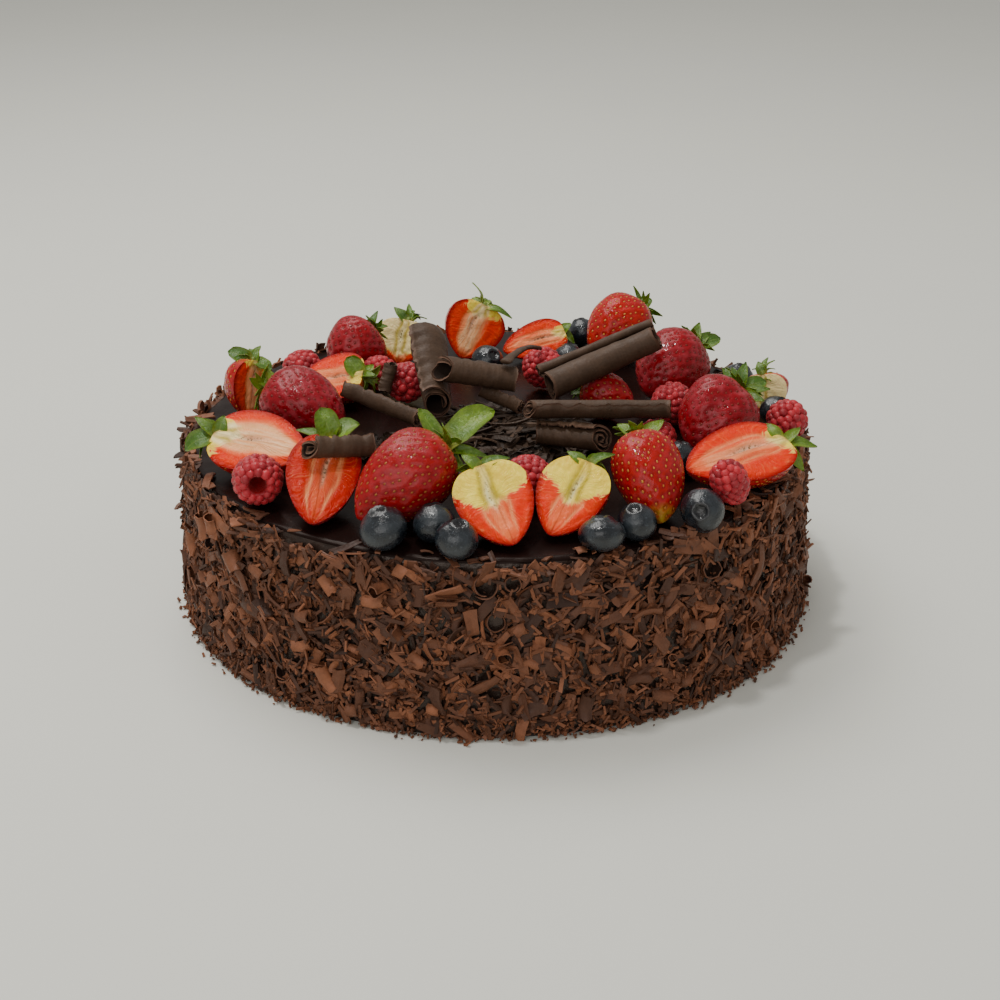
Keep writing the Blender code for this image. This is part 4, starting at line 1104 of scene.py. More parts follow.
def foot_crumbs(settings, rng):
    """Crumbs between the flakes, more of them towards the foot, and a thin skirt of them on the floor."""
    shape = Shape("tone")
    count = settings.crumbs
    size = rng.uniform(0.35, 1.15, (count, 1, 1)) * MM
    corners = np.array([[x, y, z] for x in (-1, 1) for y in (-1, 1) for z in (-1, 1)]) / 2
    grids = corners[None] * size * (1.5, 0.9, 0.6) * rng.uniform(0.6, 1.4, (count, 8, 3))
    grids = turned(grids, *(rng.uniform(0, 3, count) for _ in range(3)))
    angle = np.arange(count) * GOLDEN_ANGLE + rng.normal(0, 0.02, count)
    height = (rng.exponential(5.0, count) + 0.6) * MM
    anywhere = (rng.uniform(0, 1, count) < 0.4) | (height > 62 * MM)
    height = np.where(anywhere, rng.uniform(0, 61, count) * MM, height)
    world = on_side(grids, angle, height, rng.uniform(-1.6, 0.3, count) * MM)
    on_floor = (rng.uniform(0, 1, count) < 0.2) & ~anywhere
    fallen = np.where(on_floor, rng.exponential(1.3, count) * MM, 0)
    fallen = np.minimum(fallen, 3.5 * MM)
    world[:, :, 0] += (fallen * np.cos(angle))[:, None]
    world[:, :, 1] += (fallen * np.sin(angle))[:, None]
    drop = np.where(on_floor, world[:, :, 2].min(axis=1) - 0.1 * MM, 0)
    world[:, :, 2] -= drop[:, None]
    faces = [(0, 1, 3, 2), (4, 6, 7, 5), (0, 4, 5, 1), (2, 3, 7, 6), (0, 2, 6, 4), (1, 5, 7, 3)]
    add_slabs(shape, world, faces, np.clip(rng.normal(0.62, 0.2, count), 0, 1))
    return shape


def berry_reach(u):
    """A strawberry's radius, as a share of its greatest, at u of the way from tip to crown."""
    low = (1 - (1 - np.clip(u / BERRY_WIDEST, 0, 1)) ** 2) ** 0.72
    s = np.clip((u - BERRY_WIDEST) / (1 - BERRY_WIDEST), 0, 1)
    return np.where(u < BERRY_WIDEST, low, np.maximum(0, 1 - s ** 2.3) ** 0.5)


def berry_rows(count):
    """Places from tip to crown, close together at both ends."""
    k = np.linspace(0, 1, count)
    return 0.003 + 0.994 * (0.5 - 0.5 * np.cos(np.pi * k)) ** 0.9


def berry_points(berry, length, u, angle, phase):
    """Skin points in the berry's own frame. The phase sets where its soft lumps are."""
    lump = (
        1 + 0.030 * np.cos(2 * angle + phase) + 0.022 * np.cos(3 * angle - 2 * phase + 3 * u)
        + 0.016 * np.sin(5 * angle + 7 * u + phase)
    )
    depth, middle = berry.groove
    away = np.angle(np.exp(1j * (angle - math.radians(middle))))
    lump = lump - depth * np.exp(-(away / 0.42) ** 2) * np.clip(u / 0.3, 0, 1)
    radius = berry.width / 2 * MM * 0.97 * berry_reach(u) * lump
    dip = np.clip((u - 0.93) / 0.07, 0, 1) ** 2 * CROWN_DIP * 0.8
    return np.stack([radius * np.cos(angle), radius * np.sin(angle), (u - dip) * length], axis=-1)


def seed_places(berry, length, spacing, rng):
    """Seeds in a spiral over the skin, an even distance apart, each by its u and its angle."""
    u = np.linspace(0.02, 0.97, 300)
    ring = 2 * math.pi * berry.width / 2 * MM * berry_reach(u)
    area = np.cumsum(ring) * (u[1] - u[0]) * length
    count = int(area[-1] / (spacing ** 2 * 0.866))
    wanted = (np.arange(count) + 0.5) / count * area[-1]
    at = np.interp(wanted, area, u)
    angle = np.arange(count) * GOLDEN_ANGLE + rng.normal(0, 0.04, count)
    return at, np.mod(angle, 2 * math.pi)


def seed_mesh():
    """A pip: a flattened drop of two rings of points and two ends."""
    points = [(0, 0, -0.62)]
    for z, r in ((-0.22, 0.35), (0.3, 0.31)):
        points += [(r * math.cos(a), r * 0.6 * math.sin(a), z) for a in turn_angles(6)]
    points.append((0, 0, 0.6))
    faces = grid_faces(2, 6, closed=True, first=1)
    faces += fan_faces(0, list(range(1, 7)), False) + fan_faces(13, list(range(7, 13)), True)
    return np.array(points), faces


def add_skin(shape, berry, length, phase, settings, rng):
    """The skin with its dimples, and a seed in each dimple."""
    rows = 54
    start, end = (math.pi, 2 * math.pi) if berry.cut else (0, 2 * math.pi)
    columns = 50 if berry.cut else 94
    u = berry_rows(rows)[:, None]
    angle = np.linspace(start, end, columns, endpoint=berry.cut)[None, :]
    u, angle = np.broadcast_arrays(u, angle)
    points = berry_points(berry, length, u.ravel(), angle.ravel(), phase)
    at, turn = seed_places(berry, length, settings.seed_spacing, rng)
    seeds = berry_points(berry, length, at, turn, phase)
    tree = KDTree(len(seeds))
    for i, place in enumerate(seeds):
        tree.insert(place, i)
    tree.balance()
    near = np.array([tree.find(p)[2] for p in points])
    # How near each point is to a seed. It sets the dimple's depth, and the skin material darkens there as
    # painted shade.
    pit = np.exp(-(near / (0.30 * settings.seed_spacing)) ** 2)
    normals = skin_normals(points.reshape(rows, columns, 3), closed=not berry.cut)
    off_cut = np.ones(len(points))
    if berry.cut:
        off_cut = np.clip(np.minimum(angle - math.pi, 2 * math.pi - angle).ravel() / 0.12, 0, 1)
    deeper = 1 + 0.5 * berry.ripe
    points = points - normals * (pit * settings.dimple * deeper * off_cut)[:, None]
    faces = grid_faces(rows, columns) if berry.cut else capped_faces(rows, columns)
    green = np.clip((0.13 - u.ravel()) / 0.10, 0, 1) * berry.green_tip
    values = {"along": u.ravel(), "ripe": berry.ripe, "pit": pit, "green_tip": green}
    shape.add(points, faces, SKIN, **values)
    if not berry.cut:
        ends = [(0, 0, 0), (0, 0, length * (1 - CROWN_DIP))]
        shape.add(ends, [], SKIN, along=np.array([0, 1]), ripe=berry.ripe)
    add_seeds(shape, berry, seeds, at, turn, settings, rng)


def skin_normals(grid, closed):
    """The way the skin faces at each point of its grid."""
    if closed:
        across = np.roll(grid, -1, axis=1) - np.roll(grid, 1, axis=1)
    else:
        across = np.gradient(grid, axis=1)
    normal = np.cross(across, np.gradient(grid, axis=0))
    normal /= np.linalg.norm(normal, axis=-1, keepdims=True) + 1e-12
    return normal.reshape(-1, 3)


def add_seeds(shape, berry, seeds, at, turn, settings, rng):
    """A pip in each dimple, apart from the half that is cut away."""
    pip, faces = seed_mesh()
    for place, u, angle in zip(seeds, at, turn):
        if berry.cut and not math.pi + 0.1 < angle < 2 * math.pi - 0.1:
            continue
        out = Vector((math.cos(angle), math.sin(angle), 0.9 * (u - BERRY_WIDEST))).normalized()
        side = Vector((-math.sin(angle), math.cos(angle), 0))
        along = out.cross(side)
        size = rng.uniform(0.95, 1.25) * MM
        axes = np.array([side, out, along]) * size
        sunk = np.array(place) - np.array(out) * settings.dimple * (0.75 + 0.4 * berry.ripe)
        shape.add(pip @ axes + sunk, faces, SEED, ripe=berry.ripe)


def face_values(berry, u, s, length, rng):
    """Masks over a cut face, for points at u of the way to the crown and s of the way to its edges."""
    half = berry.width / 2 * MM * berry_reach(u)
    edge = np.minimum(np.minimum((1 - np.abs(s)) * half, u * length * 0.8), (1 - u) * length * 1.2)
    rim = 1 - np.clip(edge / (3.2 * MM), 0, 1)
    turn = rng.uniform(0, 6)
    bowed = s + 0.09 * np.sin(4 * u + turn) + 0.025 * np.sin(17 * u)
    width = (0.20 + 0.32 * berry.core) * (0.78 + 0.22 * np.sin(3.5 * u + turn))
    pale = np.clip((1.3 - np.abs(bowed) / width) / 0.55, 0, 1) * (0.05 + 0.92 * berry.core)
    pale = pale * np.clip(u / 0.2, 0, 1)
    wobble = 0.035 * np.sin(5 * s + turn) + 0.012 * np.sin(23 * s + 9 * u)
    border = 1 - berry.pale + 0.24 * np.abs(s) ** 1.2 - 0.09 + wobble
    creamy = np.clip((u - border + 0.07) / 0.14, 0, 1)
    pale = np.maximum(pale, creamy * np.clip((berry.pale - 0.5) / 0.2, 0, 1) * 0.85)
    across = np.maximum(np.abs(s), 0.03) * half
    fan = np.arctan2((u - 0.58) * length, across) * 9 + np.sign(s) * 40
    fan = fan + 0.7 * np.sin(8 * np.abs(s) + 12 * u)
    vein = np.exp(-((np.abs(bowed) - 0.36 + 0.2 * creamy) / 0.075) ** 2)
    vein = vein * np.clip(u / 0.25, 0, 1) * np.clip((1 - u) / 0.12, 0, 1)
    slit = np.exp(-((bowed + 0.03 * np.sin(9 * u)) / 0.055) ** 2)
    slit = slit * np.clip(1.2 - np.abs(u - 0.6) / 0.2, 0, 1)
    return {
        "pale": pale, "creamy": creamy, "rim": rim, "fan": fan, "slit": slit, "vein": vein,
        "along": u, "across": s, "ripe": np.full(u.shape, berry.ripe),
    }


def add_cut_face(shape, berry, length, phase, rng):
    """The flat cut face, a little crowned, with a hollow slit along its core."""
    rows, columns = 56, 40
    u = berry_rows(rows)
    left = berry_points(berry, length, u, np.full(rows, math.pi), phase)
    right = berry_points(berry, length, u, np.full(rows, 2 * math.pi), phase)
    s = np.linspace(-1, 1, columns)
    share = ((s + 1) / 2)[None, :, None]
    points = left[:, None] * (1 - share) + right[:, None] * share
    uu, ss = np.meshgrid(u, s, indexing="ij")
    values = face_values(berry, uu, ss, length, rng)
    inner = 1 - values["rim"]
    lumps = [noise(Vector((a * 5, b * 8, phase))) for a, b in zip(ss.ravel(), uu.ravel())]
    points[:, :, 1] += (0.4 + 0.35 * np.reshape(lumps, ss.shape)) * inner * MM
    points[:, :, 1] -= (1.5 * values["slit"] + 0.3 * values["vein"]) * inner * MM
    values = {key: value.ravel() for key, value in values.items()}
    faces = [tuple(reversed(f)) for f in grid_faces(rows, columns)]
    shape.add(points.reshape(-1, 3), faces, FLESH, **values)


def add_blade(shape, root, reach, width, out, rounded, rng):
    """A sepal: a thin arched blade, wavy at its edges, with a raised middle vein."""
    rows, columns = 10, 5
    along = reach.normalized()
    out = out - along * out.dot(along)
    out = out.normalized() if out.length > 0.1 else along.orthogonal().normalized()
    across = along.cross(out)
    s = np.linspace(0, 1, rows)
    blunt = 0.5 if rounded else 0.85
    outline = (s + 0.10) ** 0.55 * np.maximum(1 - s, 0) ** blunt
    outline = outline / outline.max() * width / 2
    outline[-1] = 0.04 * width
    arch, hook = rng.uniform(0.10, 0.22) * reach.length, rng.uniform(-0.15, 0.12) * reach.length
    lines = []
    for k, half in zip(s, outline):
        middle = root + reach * k + out * (arch * math.sin(math.pi * k) + hook * k ** 3)
        for t in np.linspace(-1, 1, columns):
            wave = 0.07 * width * math.sin(9 * k + 3 * t + half * 900) * abs(t)
            fold = 0.22 * half * abs(t) - 0.04 * width * math.exp(-(t / 0.2) ** 2)
            lines.append(middle + across * half * t + out * (fold + wave))
    thick = 0.16 * MM
    points = [p - out * thick for p in lines] + [p + out * thick for p in lines]
    values = {
        "across": np.tile(np.abs(np.linspace(-1, 1, columns)), rows * 2),
        "along": np.tile(np.repeat(s, columns), 2),
    }
    shape.add([tuple(p) for p in points], slab_faces(rows, columns), SEPAL, **values)


def add_sepals(shape, berry, length, placed, rng):
    """The listed sepals, then smaller ones that lie close round the crown, and the stalk's stub."""
    crown = Vector((0, 0, length * (1 - CROWN_DIP)))
    if berry.cut:
        crown.y -= 1.8 * MM
    axis = Vector((0, 0, 1))
    back = placed.to_3x3().inverted()
    upwards = back @ Vector((0, -0.55, 0.83))
    for x, y, z, width in berry.leaves:
        reach = back @ Vector((x, y, z)) * 0.95 * MM
        out = upwards + Vector([rng.uniform(-0.35, 0.35) for _ in range(3)])
        add_blade(shape, crown - axis * 0.8 * MM, reach, 1.08 * width * MM, out, width >= 6, rng)
    small = 6 if berry.cut else 11
    for i in range(small):
        angle = (math.pi * (1.08 + 0.84 * (i + 0.5) / small)) if berry.cut else 2 * math.pi * i / small
        angle += rng.uniform(-0.2, 0.2)
        size = rng.uniform(0.20, 0.32) * berry.width * MM
        reach = Vector((math.cos(angle), math.sin(angle), rng.uniform(0.0, 0.9))) * size
        root = crown + Vector((math.cos(angle), math.sin(angle), 0)) * 0.7 * MM
        add_blade(shape, root, reach, size * rng.uniform(0.34, 0.5), axis, False, rng)
    add_stalk(shape, crown)


def add_stalk(shape, crown):
    """The stub where the stalk was pinched off."""
    points = []
    for z, r in ((-1.0, 1.5), (0.3, 1.1), (1.3, 0.9), (1.5, 0.5)):
        points += [
            (crown.x + r * MM * math.cos(a), crown.y + r * MM * math.sin(a), crown.z + z * MM)
            for a in turn_angles(8)
        ]
    points.append((crown.x, crown.y, crown.z + 1.3 * MM))
    faces = grid_faces(4, 8, closed=True) + fan_faces(32, list(range(24, 32)), True)
    faces += [tuple(reversed(range(8)))]
    shape.add(points, faces, SEPAL, across=0.3, along=0.2)


def strawberry(berry, settings, materials):
    """One strawberry with its seeds and sepals, in the place of its node."""
    rng = own_rng(berry.name)
    phase = rng.uniform(0, 6)
    tip, crown = above_top(berry.tip), above_top(berry.crown)
    length = (crown - tip).length
    placed = frame_between(tip, crown, berry.facing)
    shape = Shape(
        "along", "ripe", "pit", "green_tip", "pale", "creamy", "rim", "fan", "slit", "vein", "across",
    )
    add_skin(shape, berry, length, phase, settings, rng)
    skin = np.concatenate(shape.points)
    if berry.cut:
        add_cut_face(shape, berry, length, phase, rng)
    placed = set_level(placed, skin, berry.name)
    add_sepals(shape, berry, length, placed, rng)
    return shape.piece(berry.name + "_fine", materials, berry.name, "strawberry", placed)


def raspberry_reach(s, hollow):
    """Radius, as a share of the greatest, at s of the way from tip to mouth."""
    places = (0, 0.05, 0.15, 0.3, 0.5, 0.7, 0.86, 0.97, 1.0)
    mouth = (0.86, 0.64, 0.44) if hollow else (0.80, 0.42, 0.1)
    return float(np.interp(s, places, (0.0, 0.36, 0.64, 0.86, 0.98, 0.97, *mouth)))


def raspberry(berry, materials):
    """A raspberry: a core with a hollow, covered in rows of drupelets."""
    rng = own_rng(berry.name)
    tip, mouth = above_top(berry.tip), above_top(berry.mouth)
    length, radius = (mouth - tip).length, berry.width / 2 * MM
    shape = Shape("tone", "inside")
    add_raspberry_core(shape, berry, length, radius)
    grain = 1.62 * MM
    s = 0.0
    row = 0
    while s < 1.0:
        ring = max(0.0, radius * raspberry_reach(s, berry.hollow) - 0.86 * grain)
        count = max(1, round(2 * math.pi * ring / (1.62 * grain)))
        for j in range(count):
            angle = 2 * math.pi * (j + 0.5 * (row % 2)) / count + rng.normal(0, 0.05)
            size = grain * rng.uniform(1.02, 1.24)
            lift = (0.035 + 0.93 * s) * length + rng.normal(0, 0.15) * MM
            centre = Vector((ring * math.cos(angle), ring * math.sin(angle), lift))
            out = Vector((0, 0, -1))
            if ring > 0:
                out = Vector((math.cos(angle), math.sin(angle), (s - 0.55) * 1.5)).normalized()
            add_drupelet(shape, centre, out, size, rng.uniform(0, 1))
        s += 1.36 * grain / length * max(0.42, 1 - 1.5 * max(0, abs(s - 0.5) - 0.18))
        row += 1
    placed = on_box(frame_between(tip, mouth), np.concatenate(shape.points), berry.name)
    return shape.piece(berry.name + "_fine", materials, berry.name, "raspberry", placed)


def add_raspberry_core(shape, berry, length, radius):
    """The flesh under the drupelets, open at the mouth as a deep hollow."""
    stations = (0.03, 0.15, 0.35, 0.6, 0.85, 0.98)
    profile = [(raspberry_reach(s, berry.hollow) * 0.84, 0.06 + 0.9 * s, 0) for s in stations]
    if berry.hollow:
        profile += [(0.38, 0.97, 0.4), (0.33, 0.88, 0.9), (0.29, 0.7, 1), (0.23, 0.5, 1), (0.1, 0.4, 1)]
    columns = 28
    points, inside = [], []
    for reach, height, value in profile:
        points += [
            (radius * reach * math.cos(a), radius * reach * math.sin(a), height * length)
            for a in turn_angles(columns)
        ]
        inside += [value] * columns
    end, end_inside = (0.38, 1) if berry.hollow else (0.95, 0)
    points += [(0, 0, 0.05 * length), (0, 0, end * length)]
    inside += [0, end_inside]
    shape.add(points, capped_faces(len(profile), columns), tone=0.3, inside=np.array(inside))


def add_drupelet(shape, centre, out, size, tone):
    """A soft ball, a little flattened against its neighbours."""
    rows, columns = 5, 8
    side = out.orthogonal().normalized()
    other = out.cross(side)
    points = []
    for k in range(1, rows + 1):
        polar = math.pi * k / (rows + 1)
        for a in turn_angles(columns):
            points.append(
                centre + (side * math.cos(a) + other * math.sin(a)) * math.sin(polar) * size
                + out * math.cos(polar) * size * 0.86
            )
    points += [centre + out * size * 0.86, centre - out * size * 0.86]
    faces = [tuple(reversed(f)) for f in capped_faces(rows, columns)]
    shape.add([tuple(p) for p in points], faces, tone=tone)


def blueberry(berry, materials):
    """A squat ball whose crown is a ring of five points round a dimple."""
    phase = own_rng(berry.name).uniform(0, 6)
    radius = berry.width / 2 * MM
    rows, columns = 30, 44
    points, crowned = [], []
    for i in range(rows):
        t = math.pi * (i + 0.5) / rows
        for a in turn_angles(columns):
            reach, height = math.sin(t), -math.cos(t) * berry.squat
            star = 0.5 + 0.5 * math.cos(5 * a + phase)
            lump = 1 + 0.018 * math.cos(2 * a + phase) + 0.012 * math.cos(3 * a - phase)
            in_cup = math.exp(-(reach / (0.27 + 0.05 * star)) ** 4) if height > 0 else 0
            ring = math.exp(-((reach - 0.35 - 0.05 * star) / 0.065) ** 2) if height > 0 else 0
            height += (0.10 + 0.06 * star) * ring - 0.17 * in_cup
            wide = radius * reach * lump
            points.append((wide * math.cos(a), wide * math.sin(a), radius * height))
            crowned.append(min(1, ring * 0.8 + in_cup))
    points += [(0, 0, -radius * berry.squat), (0, 0, radius * (berry.squat - 0.17))]
    crowned += [0, 1]
    shape = Shape("crown")
    shape.add(points, capped_faces(rows, columns), crown=np.array(crowned))
    centre = above_top(berry.centre)
    placed = frame_between(centre, centre + Vector(berry.crown))
    placed = on_box(placed, np.concatenate(shape.points), berry.name)
    return shape.piece(berry.name + "_fine", materials, berry.name, "blueberry", placed)


def spiral(radius, turns, per_turn, start=0.0, handed=1, pitch=1.75 * MM):
    """The middle line of a rolled sheet, from its outer edge inwards."""
    count = max(12, round(turns * per_turn))
    closest = max(0.9 * MM, radius - turns * pitch)
    line = []
    for k in range(count + 1):
        share = k / count
        angle = start + handed * 2 * math.pi * turns * share
        reach = radius + (closest - radius) * share
        line.append(Vector((reach * math.cos(angle), reach * math.sin(angle), 0)))
    return line


def roll_section(curl, thickness):
    """The line that a curl's section follows: one spiral, or two that a flat web joins."""
    radius = curl.width / 2 * MM - thickness / 2
    if not curl.second_roll:
        pitch = 1.1 * MM if curl.turns < 1.4 else 1.75 * MM
        return spiral(radius, curl.turns, 30, math.radians(curl.seam), pitch=pitch)
    small = curl.second_roll / 2 * MM - thickness / 2
    centre = Vector((radius + small + 1.2 * MM, radius - small - 1.2 * MM, 0))
    second = [centre + p for p in spiral(small, 1.1, 24, start=-math.pi / 2)]
    first = spiral(radius, curl.turns, 30, start=math.radians(10), handed=-1)
    return [*reversed(first), *second]


def curl_piece(curl, settings, materials):
    """A rolled sheet of chocolate with broken ends and a wavering edge.

    The ends are broken back furthest where the sheet faces the viewer, and its outer edge springs loose.
    """
    seed = random.Random(curl.name).uniform(0, 50)
    start, end = above_top(curl.start), above_top(curl.end)
    length = (end - start).length
    placed = frame_between(start, end)
    line = roll_section(curl, settings.thickness)
    viewer = placed.to_3x3().inverted() @ Vector((0, -0.8, 0.6))
    viewer = Vector((viewer.x, viewer.y, 0)).normalized()
    count, rows = len(line), 34
    forward = [(line[min(k + 1, count - 1)] - line[max(k - 1, 0)]).normalized() for k in range(count)]
    sides = [Vector((-ahead.y, ahead.x, 0)) for ahead in forward]
    widen = curl.end_width / curl.width - 1
    points, lengthways, inside, edge = [], [], [], []
    for face in (-1, 1):
        for i in range(rows):
            s = i / (rows - 1)
            for k in range(count):
                share = k / (count - 1)
                shown = 0.5 + 0.5 * line[k].dot(viewer) / (curl.width / 2 * MM)
                low = ragged(share * 9 + seed) + (0.5 + curl.open[0] * shown) * MM
                high = length - ragged(share * 9 + seed + 20) - (0.5 + curl.open[1] * shown) * MM
                swell = 1 + widen * s + 0.035 * noise(Vector((s * 3 + seed, share * 2, 1)))
                if curl.drawn:
                    swell *= rounded_end(s)
                middle = line[k] * swell
                if not curl.second_roll:
                    loose = max(0, 1 - share * curl.turns / 0.16)
                    middle *= 1 + 0.34 * loose * (0.45 + noise(Vector((s * 9, seed, 3))))
                    middle += forward[k] * loose * 1.6 * MM * noise(Vector((s * 24, seed, 5)))
                half = settings.thickness / 2 * (1 - 0.45 * (k in (0, count - 1)))
                half *= 1 + 0.5 * noise(Vector((s * 14, share * 9, seed)))
                wander = 0.25 * MM * noise(Vector((s * 6, share * 4 + seed, 7)))
                place = middle + sides[k] * (face * half + wander)
                points.append((place.x, place.y, low + (high - low) * s))
                lengthways.append(low + (high - low) * s)
                # Marks the inner face of the sheet, which the material darkens as painted shade.
                inside.append(max(0, face))
                edge.append(1.0 if i in (0, rows - 1) or k in (0, count - 1) else 0.0)
    values = {"lengthways": np.array(lengthways), "inside": np.array(inside), "edge": np.array(edge)}
    shape = Shape("lengthways", "inside", "edge")
    shape.add(points, slab_faces(rows, count), **values)
    placed = on_box(placed, np.concatenate(shape.points), curl.name)
    return shape.piece(curl.name + "_fine", materials, curl.name, "chocolate", placed)


def rounded_end(s):
    """How wide a drawn curl still is, at s of the way to its upper end."""
    start = 0.72
    return math.sqrt(1 - 0.75 * (max(0, s - start) / (1 - start)) ** 2.4)


def ragged(place):
    """How far a broken end is set back at a place along the sheet's edge."""
    rough = noise(Vector((place, 0.3, 0))) + 0.5 * noise(Vector((place * 3.1, 4, 0)))
    return max(0.0, 0.5 + rough) * 0.9 * MM


def splinter(materials):
    """A long curved splinter, thin at its far end."""
    name, start, end, width, bow = SPLINTER
    low, high = above_top(start), above_top(end)
    length = (high - low).length
    rows, columns = 26, 10
    points = []
    for i in range(rows):
        s = i / (rows - 1)
        wide = width / 2 * MM * (1 - 0.65 * s) * (1 + 0.2 * noise(Vector((s * 9, 0, 0))))
        rise = bow * MM * math.sin(math.pi * s)
        for a in turn_angles(columns):
            rough = 1 + 0.25 * noise(Vector((s * 12, math.cos(a), math.sin(a))))
            up = rise + 0.9 * MM * math.sin(a) * rough
            points.append((wide * math.cos(a) * rough, up, s * length))
    faces = grid_faces(rows, columns, closed=True)
    faces += [tuple(reversed(range(columns))), tuple(range((rows - 1) * columns, rows * columns))]
    shape = Shape("lengthways", "inside", "edge")
    shape.add(points, faces, lengthways=np.array(points)[:, 2])
    placed = on_box(frame_between(low, high), np.concatenate(shape.points), name)
    return shape.piece(name + "_fine", materials, name, "chocolate", placed)


def bark(slab, materials):
    """A crumpled slab: a bent sheet torn into ridges, with shards stuck to it."""
    rng = own_rng(slab.name)
    shape = Shape("tone")
    low, high = (np.array(corner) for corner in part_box(slab.name))
    middle, size = (low + high) / 2, high - low
    along, across = 24, 14
    points = []
    for level in (0, 1):
        for i in range(along):
            for j in range(across):
                x = (i / (along - 1) - 0.5) * slab.length * MM
                y = (j / (across - 1) - 0.5) * slab.width * MM * (1 - 0.25 * i / along)
                crease = 1.3 * noise(Vector((x * 190, y * 260, 2)))
                crease += 1.5 * abs(noise(Vector((x * 420, y * 420, 5))))
                rise = level * (1.4 + crease) * MM + 1.1 * MM * math.sin(2.4 * i / 3.8)
                x += 0.9 * MM * noise(Vector((x * 300, y * 300, 9)))
                y += 0.9 * MM * noise(Vector((x * 300, y * 300, 4)))
                points.append((x, y, rise - 1 * MM))
    turn = np.array(Matrix.Rotation(math.radians(slab.turn), 3, "Z"))
    points = np.array(points) @ turn.T + middle
    shape.add(points, slab_faces(along, across), tone=0.6)
    count, grid = 60, (4, 3)
    grids = flake_grids(rng, count, (3 * MM, 8 * MM), (1.2 * MM, 3.2 * MM), 0.5 * MM, grid, (-0.8, 0.8))
    grids = tossed(rng, grids, 0.7, 0.5, spin=3)
    places = np.stack([
        rng.uniform(-0.42, 0.42, count) * slab.length * MM,
        rng.uniform(-0.4, 0.4, count) * slab.width * MM,
        rng.uniform(-0.1, 0.45, count) * size[2],
    ], axis=-1) @ turn.T
    world = grids + (places + middle)[:, None]
    world[:, :, 2] = np.maximum(world[:, :, 2], CAKE_TOP + 0.2 * MM)
    add_slabs(shape, world, slab_faces(*grid), rng.uniform(0.1, 0.9, count))
    return shape.piece(slab.name + "_fine", materials, slab.name, "chocolate")


def shavings_heap(settings, materials):
    """Loose dark shavings, heaped over a low mound in the middle of the ring."""
    rng = np.random.default_rng(23)
    low, high = (np.array(corner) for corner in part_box("shavings_heap"))
    middle = (low + high) / 2
    radius, mound = 31 * MM, 6.2 * MM
    shape = Shape("tone")
    rows, columns = 12, 60
    points = []
    for i in range(rows):
        reach = 1 - i / rows
        for a in turn_angles(columns):
            x, y = radius * reach * math.cos(a), radius * reach * math.sin(a)
            rise = mound * (1 - reach ** 2)
            rise += 0.9 * MM * noise(Vector((x * 160, y * 160, 0))) * (i > 0)
            points.append((x + middle[0], y + middle[1], CAKE_TOP + max(rise, 0.1 * MM)))
    points.append((middle[0], middle[1], CAKE_TOP + 0.05 * MM))
    points.append((middle[0], middle[1], CAKE_TOP + mound))
    shape.add(points, capped_faces(rows, columns), tone=0.15)
    count, grid = settings.shavings, (4, 3)
    grids = flake_grids(rng, count, (5 * MM, 15 * MM), (1.5 * MM, 4.6 * MM), 0.55 * MM, grid, (-1.2, 1.2))
    grids = tossed(rng, grids, 0.4, 0.16, spin=3.2)
    i = np.arange(count)
    reach = radius * 1.12 * np.sqrt((i + 0.5) / count)
    angle = i * GOLDEN_ANGLE
    rise = 6.4 * MM * np.clip(1 - (reach / radius) ** 2, 0, 1) + rng.uniform(-0.4, 1.4, count) * MM
    lowest = grids[:, :, 2].min(axis=1)
    centre = np.stack([
        reach * np.cos(angle) + middle[0], reach * np.sin(angle) + middle[1],
        CAKE_TOP + np.maximum(rise - 0.4 * lowest, 0.15 * MM - lowest),
    ], axis=-1)
    tone = np.clip(rng.normal(0.45, 0.28, count), 0, 1)
    add_slabs(shape, grids + centre[:, None], slab_faces(*grid), tone)
    return shape.piece("shavings_heap_fine", materials, "shavings_heap", "chocolate", smooth=False)


def add_light(light, power):
    """A rectangular light that points at the cake."""
    data = bpy.data.lights.new(light.name, "AREA")
    data.shape = "RECTANGLE"
    data.size, data.size_y = light.size
    data.energy = power
    data.color = light.colour
    lamp = bpy.data.objects.new(light.name, data)
    lamp.location = light.place
    lamp.rotation_euler = (Vector(LIT_PLACE) - lamp.location).to_track_quat("-Z", "Y").to_euler()
    bpy.context.scene.collection.objects.link(lamp)


class CakeOperator:
    """What the operators here share: they act on the open scene."""

    bl_options = {"REGISTER", "UNDO"}


class CAKE_OT_ganache(CakeOperator, Operator):
    """Build the cake with its poured ganache"""

    bl_idname = "cake.ganache"
    bl_label = "Ganache Cake"

    def execute(self, context):
        settings = context.scene.cake
        materials = [side_material(settings), ganache_material(settings)]
        ganache_body().piece("ganache_cake", materials, "cake", "cake")
        return {"FINISHED"}


class CAKE_OT_flakes(CakeOperator, Operator):
    """Cover the side with flakes, splinters and crumbs"""

    bl_idname = "cake.flakes"
    bl_label = "Flakes"

    def execute(self, context):
        settings = context.scene.cake
        material = flake_material(settings)
        rng = np.random.default_rng(7)
        shapes = {
            "side_flakes": large_flakes(settings, rng),
            "broad_flakes": broad_flakes(rng, settings.flake_thickness),
            "side_scrolls": scroll_flakes(rng, settings.flake_thickness),
            "open_scrolls": open_scrolls(rng, settings.flake_thickness),
            "side_splinters": thin_splinters(settings, rng),
            "rim_flakes": rim_flakes(rng, settings.flake_thickness),
            "foot_crumbs": foot_crumbs(settings, rng),
            "long_flakes": long_flakes(rng, settings.flake_thickness),
        }
        for name, shape in shapes.items():
            shape.piece(name, [material], slot="cake", smooth=name in ("side_scrolls", "open_scrolls"))
        return {"FINISHED"}


class CAKE_OT_strawberries(CakeOperator, Operator):
    """Build the whole and the halved strawberries"""

    bl_idname = "cake.strawberries"
    bl_label = "Strawberries"

    def execute(self, context):
        settings = context.scene.cake_berries
        materials = [
            skin_material(settings), seed_material(settings),
            flesh_material(settings), leaf_material(settings),
        ]
        for berry in STRAWBERRIES:
            strawberry(berry, settings, materials)
        return {"FINISHED"}


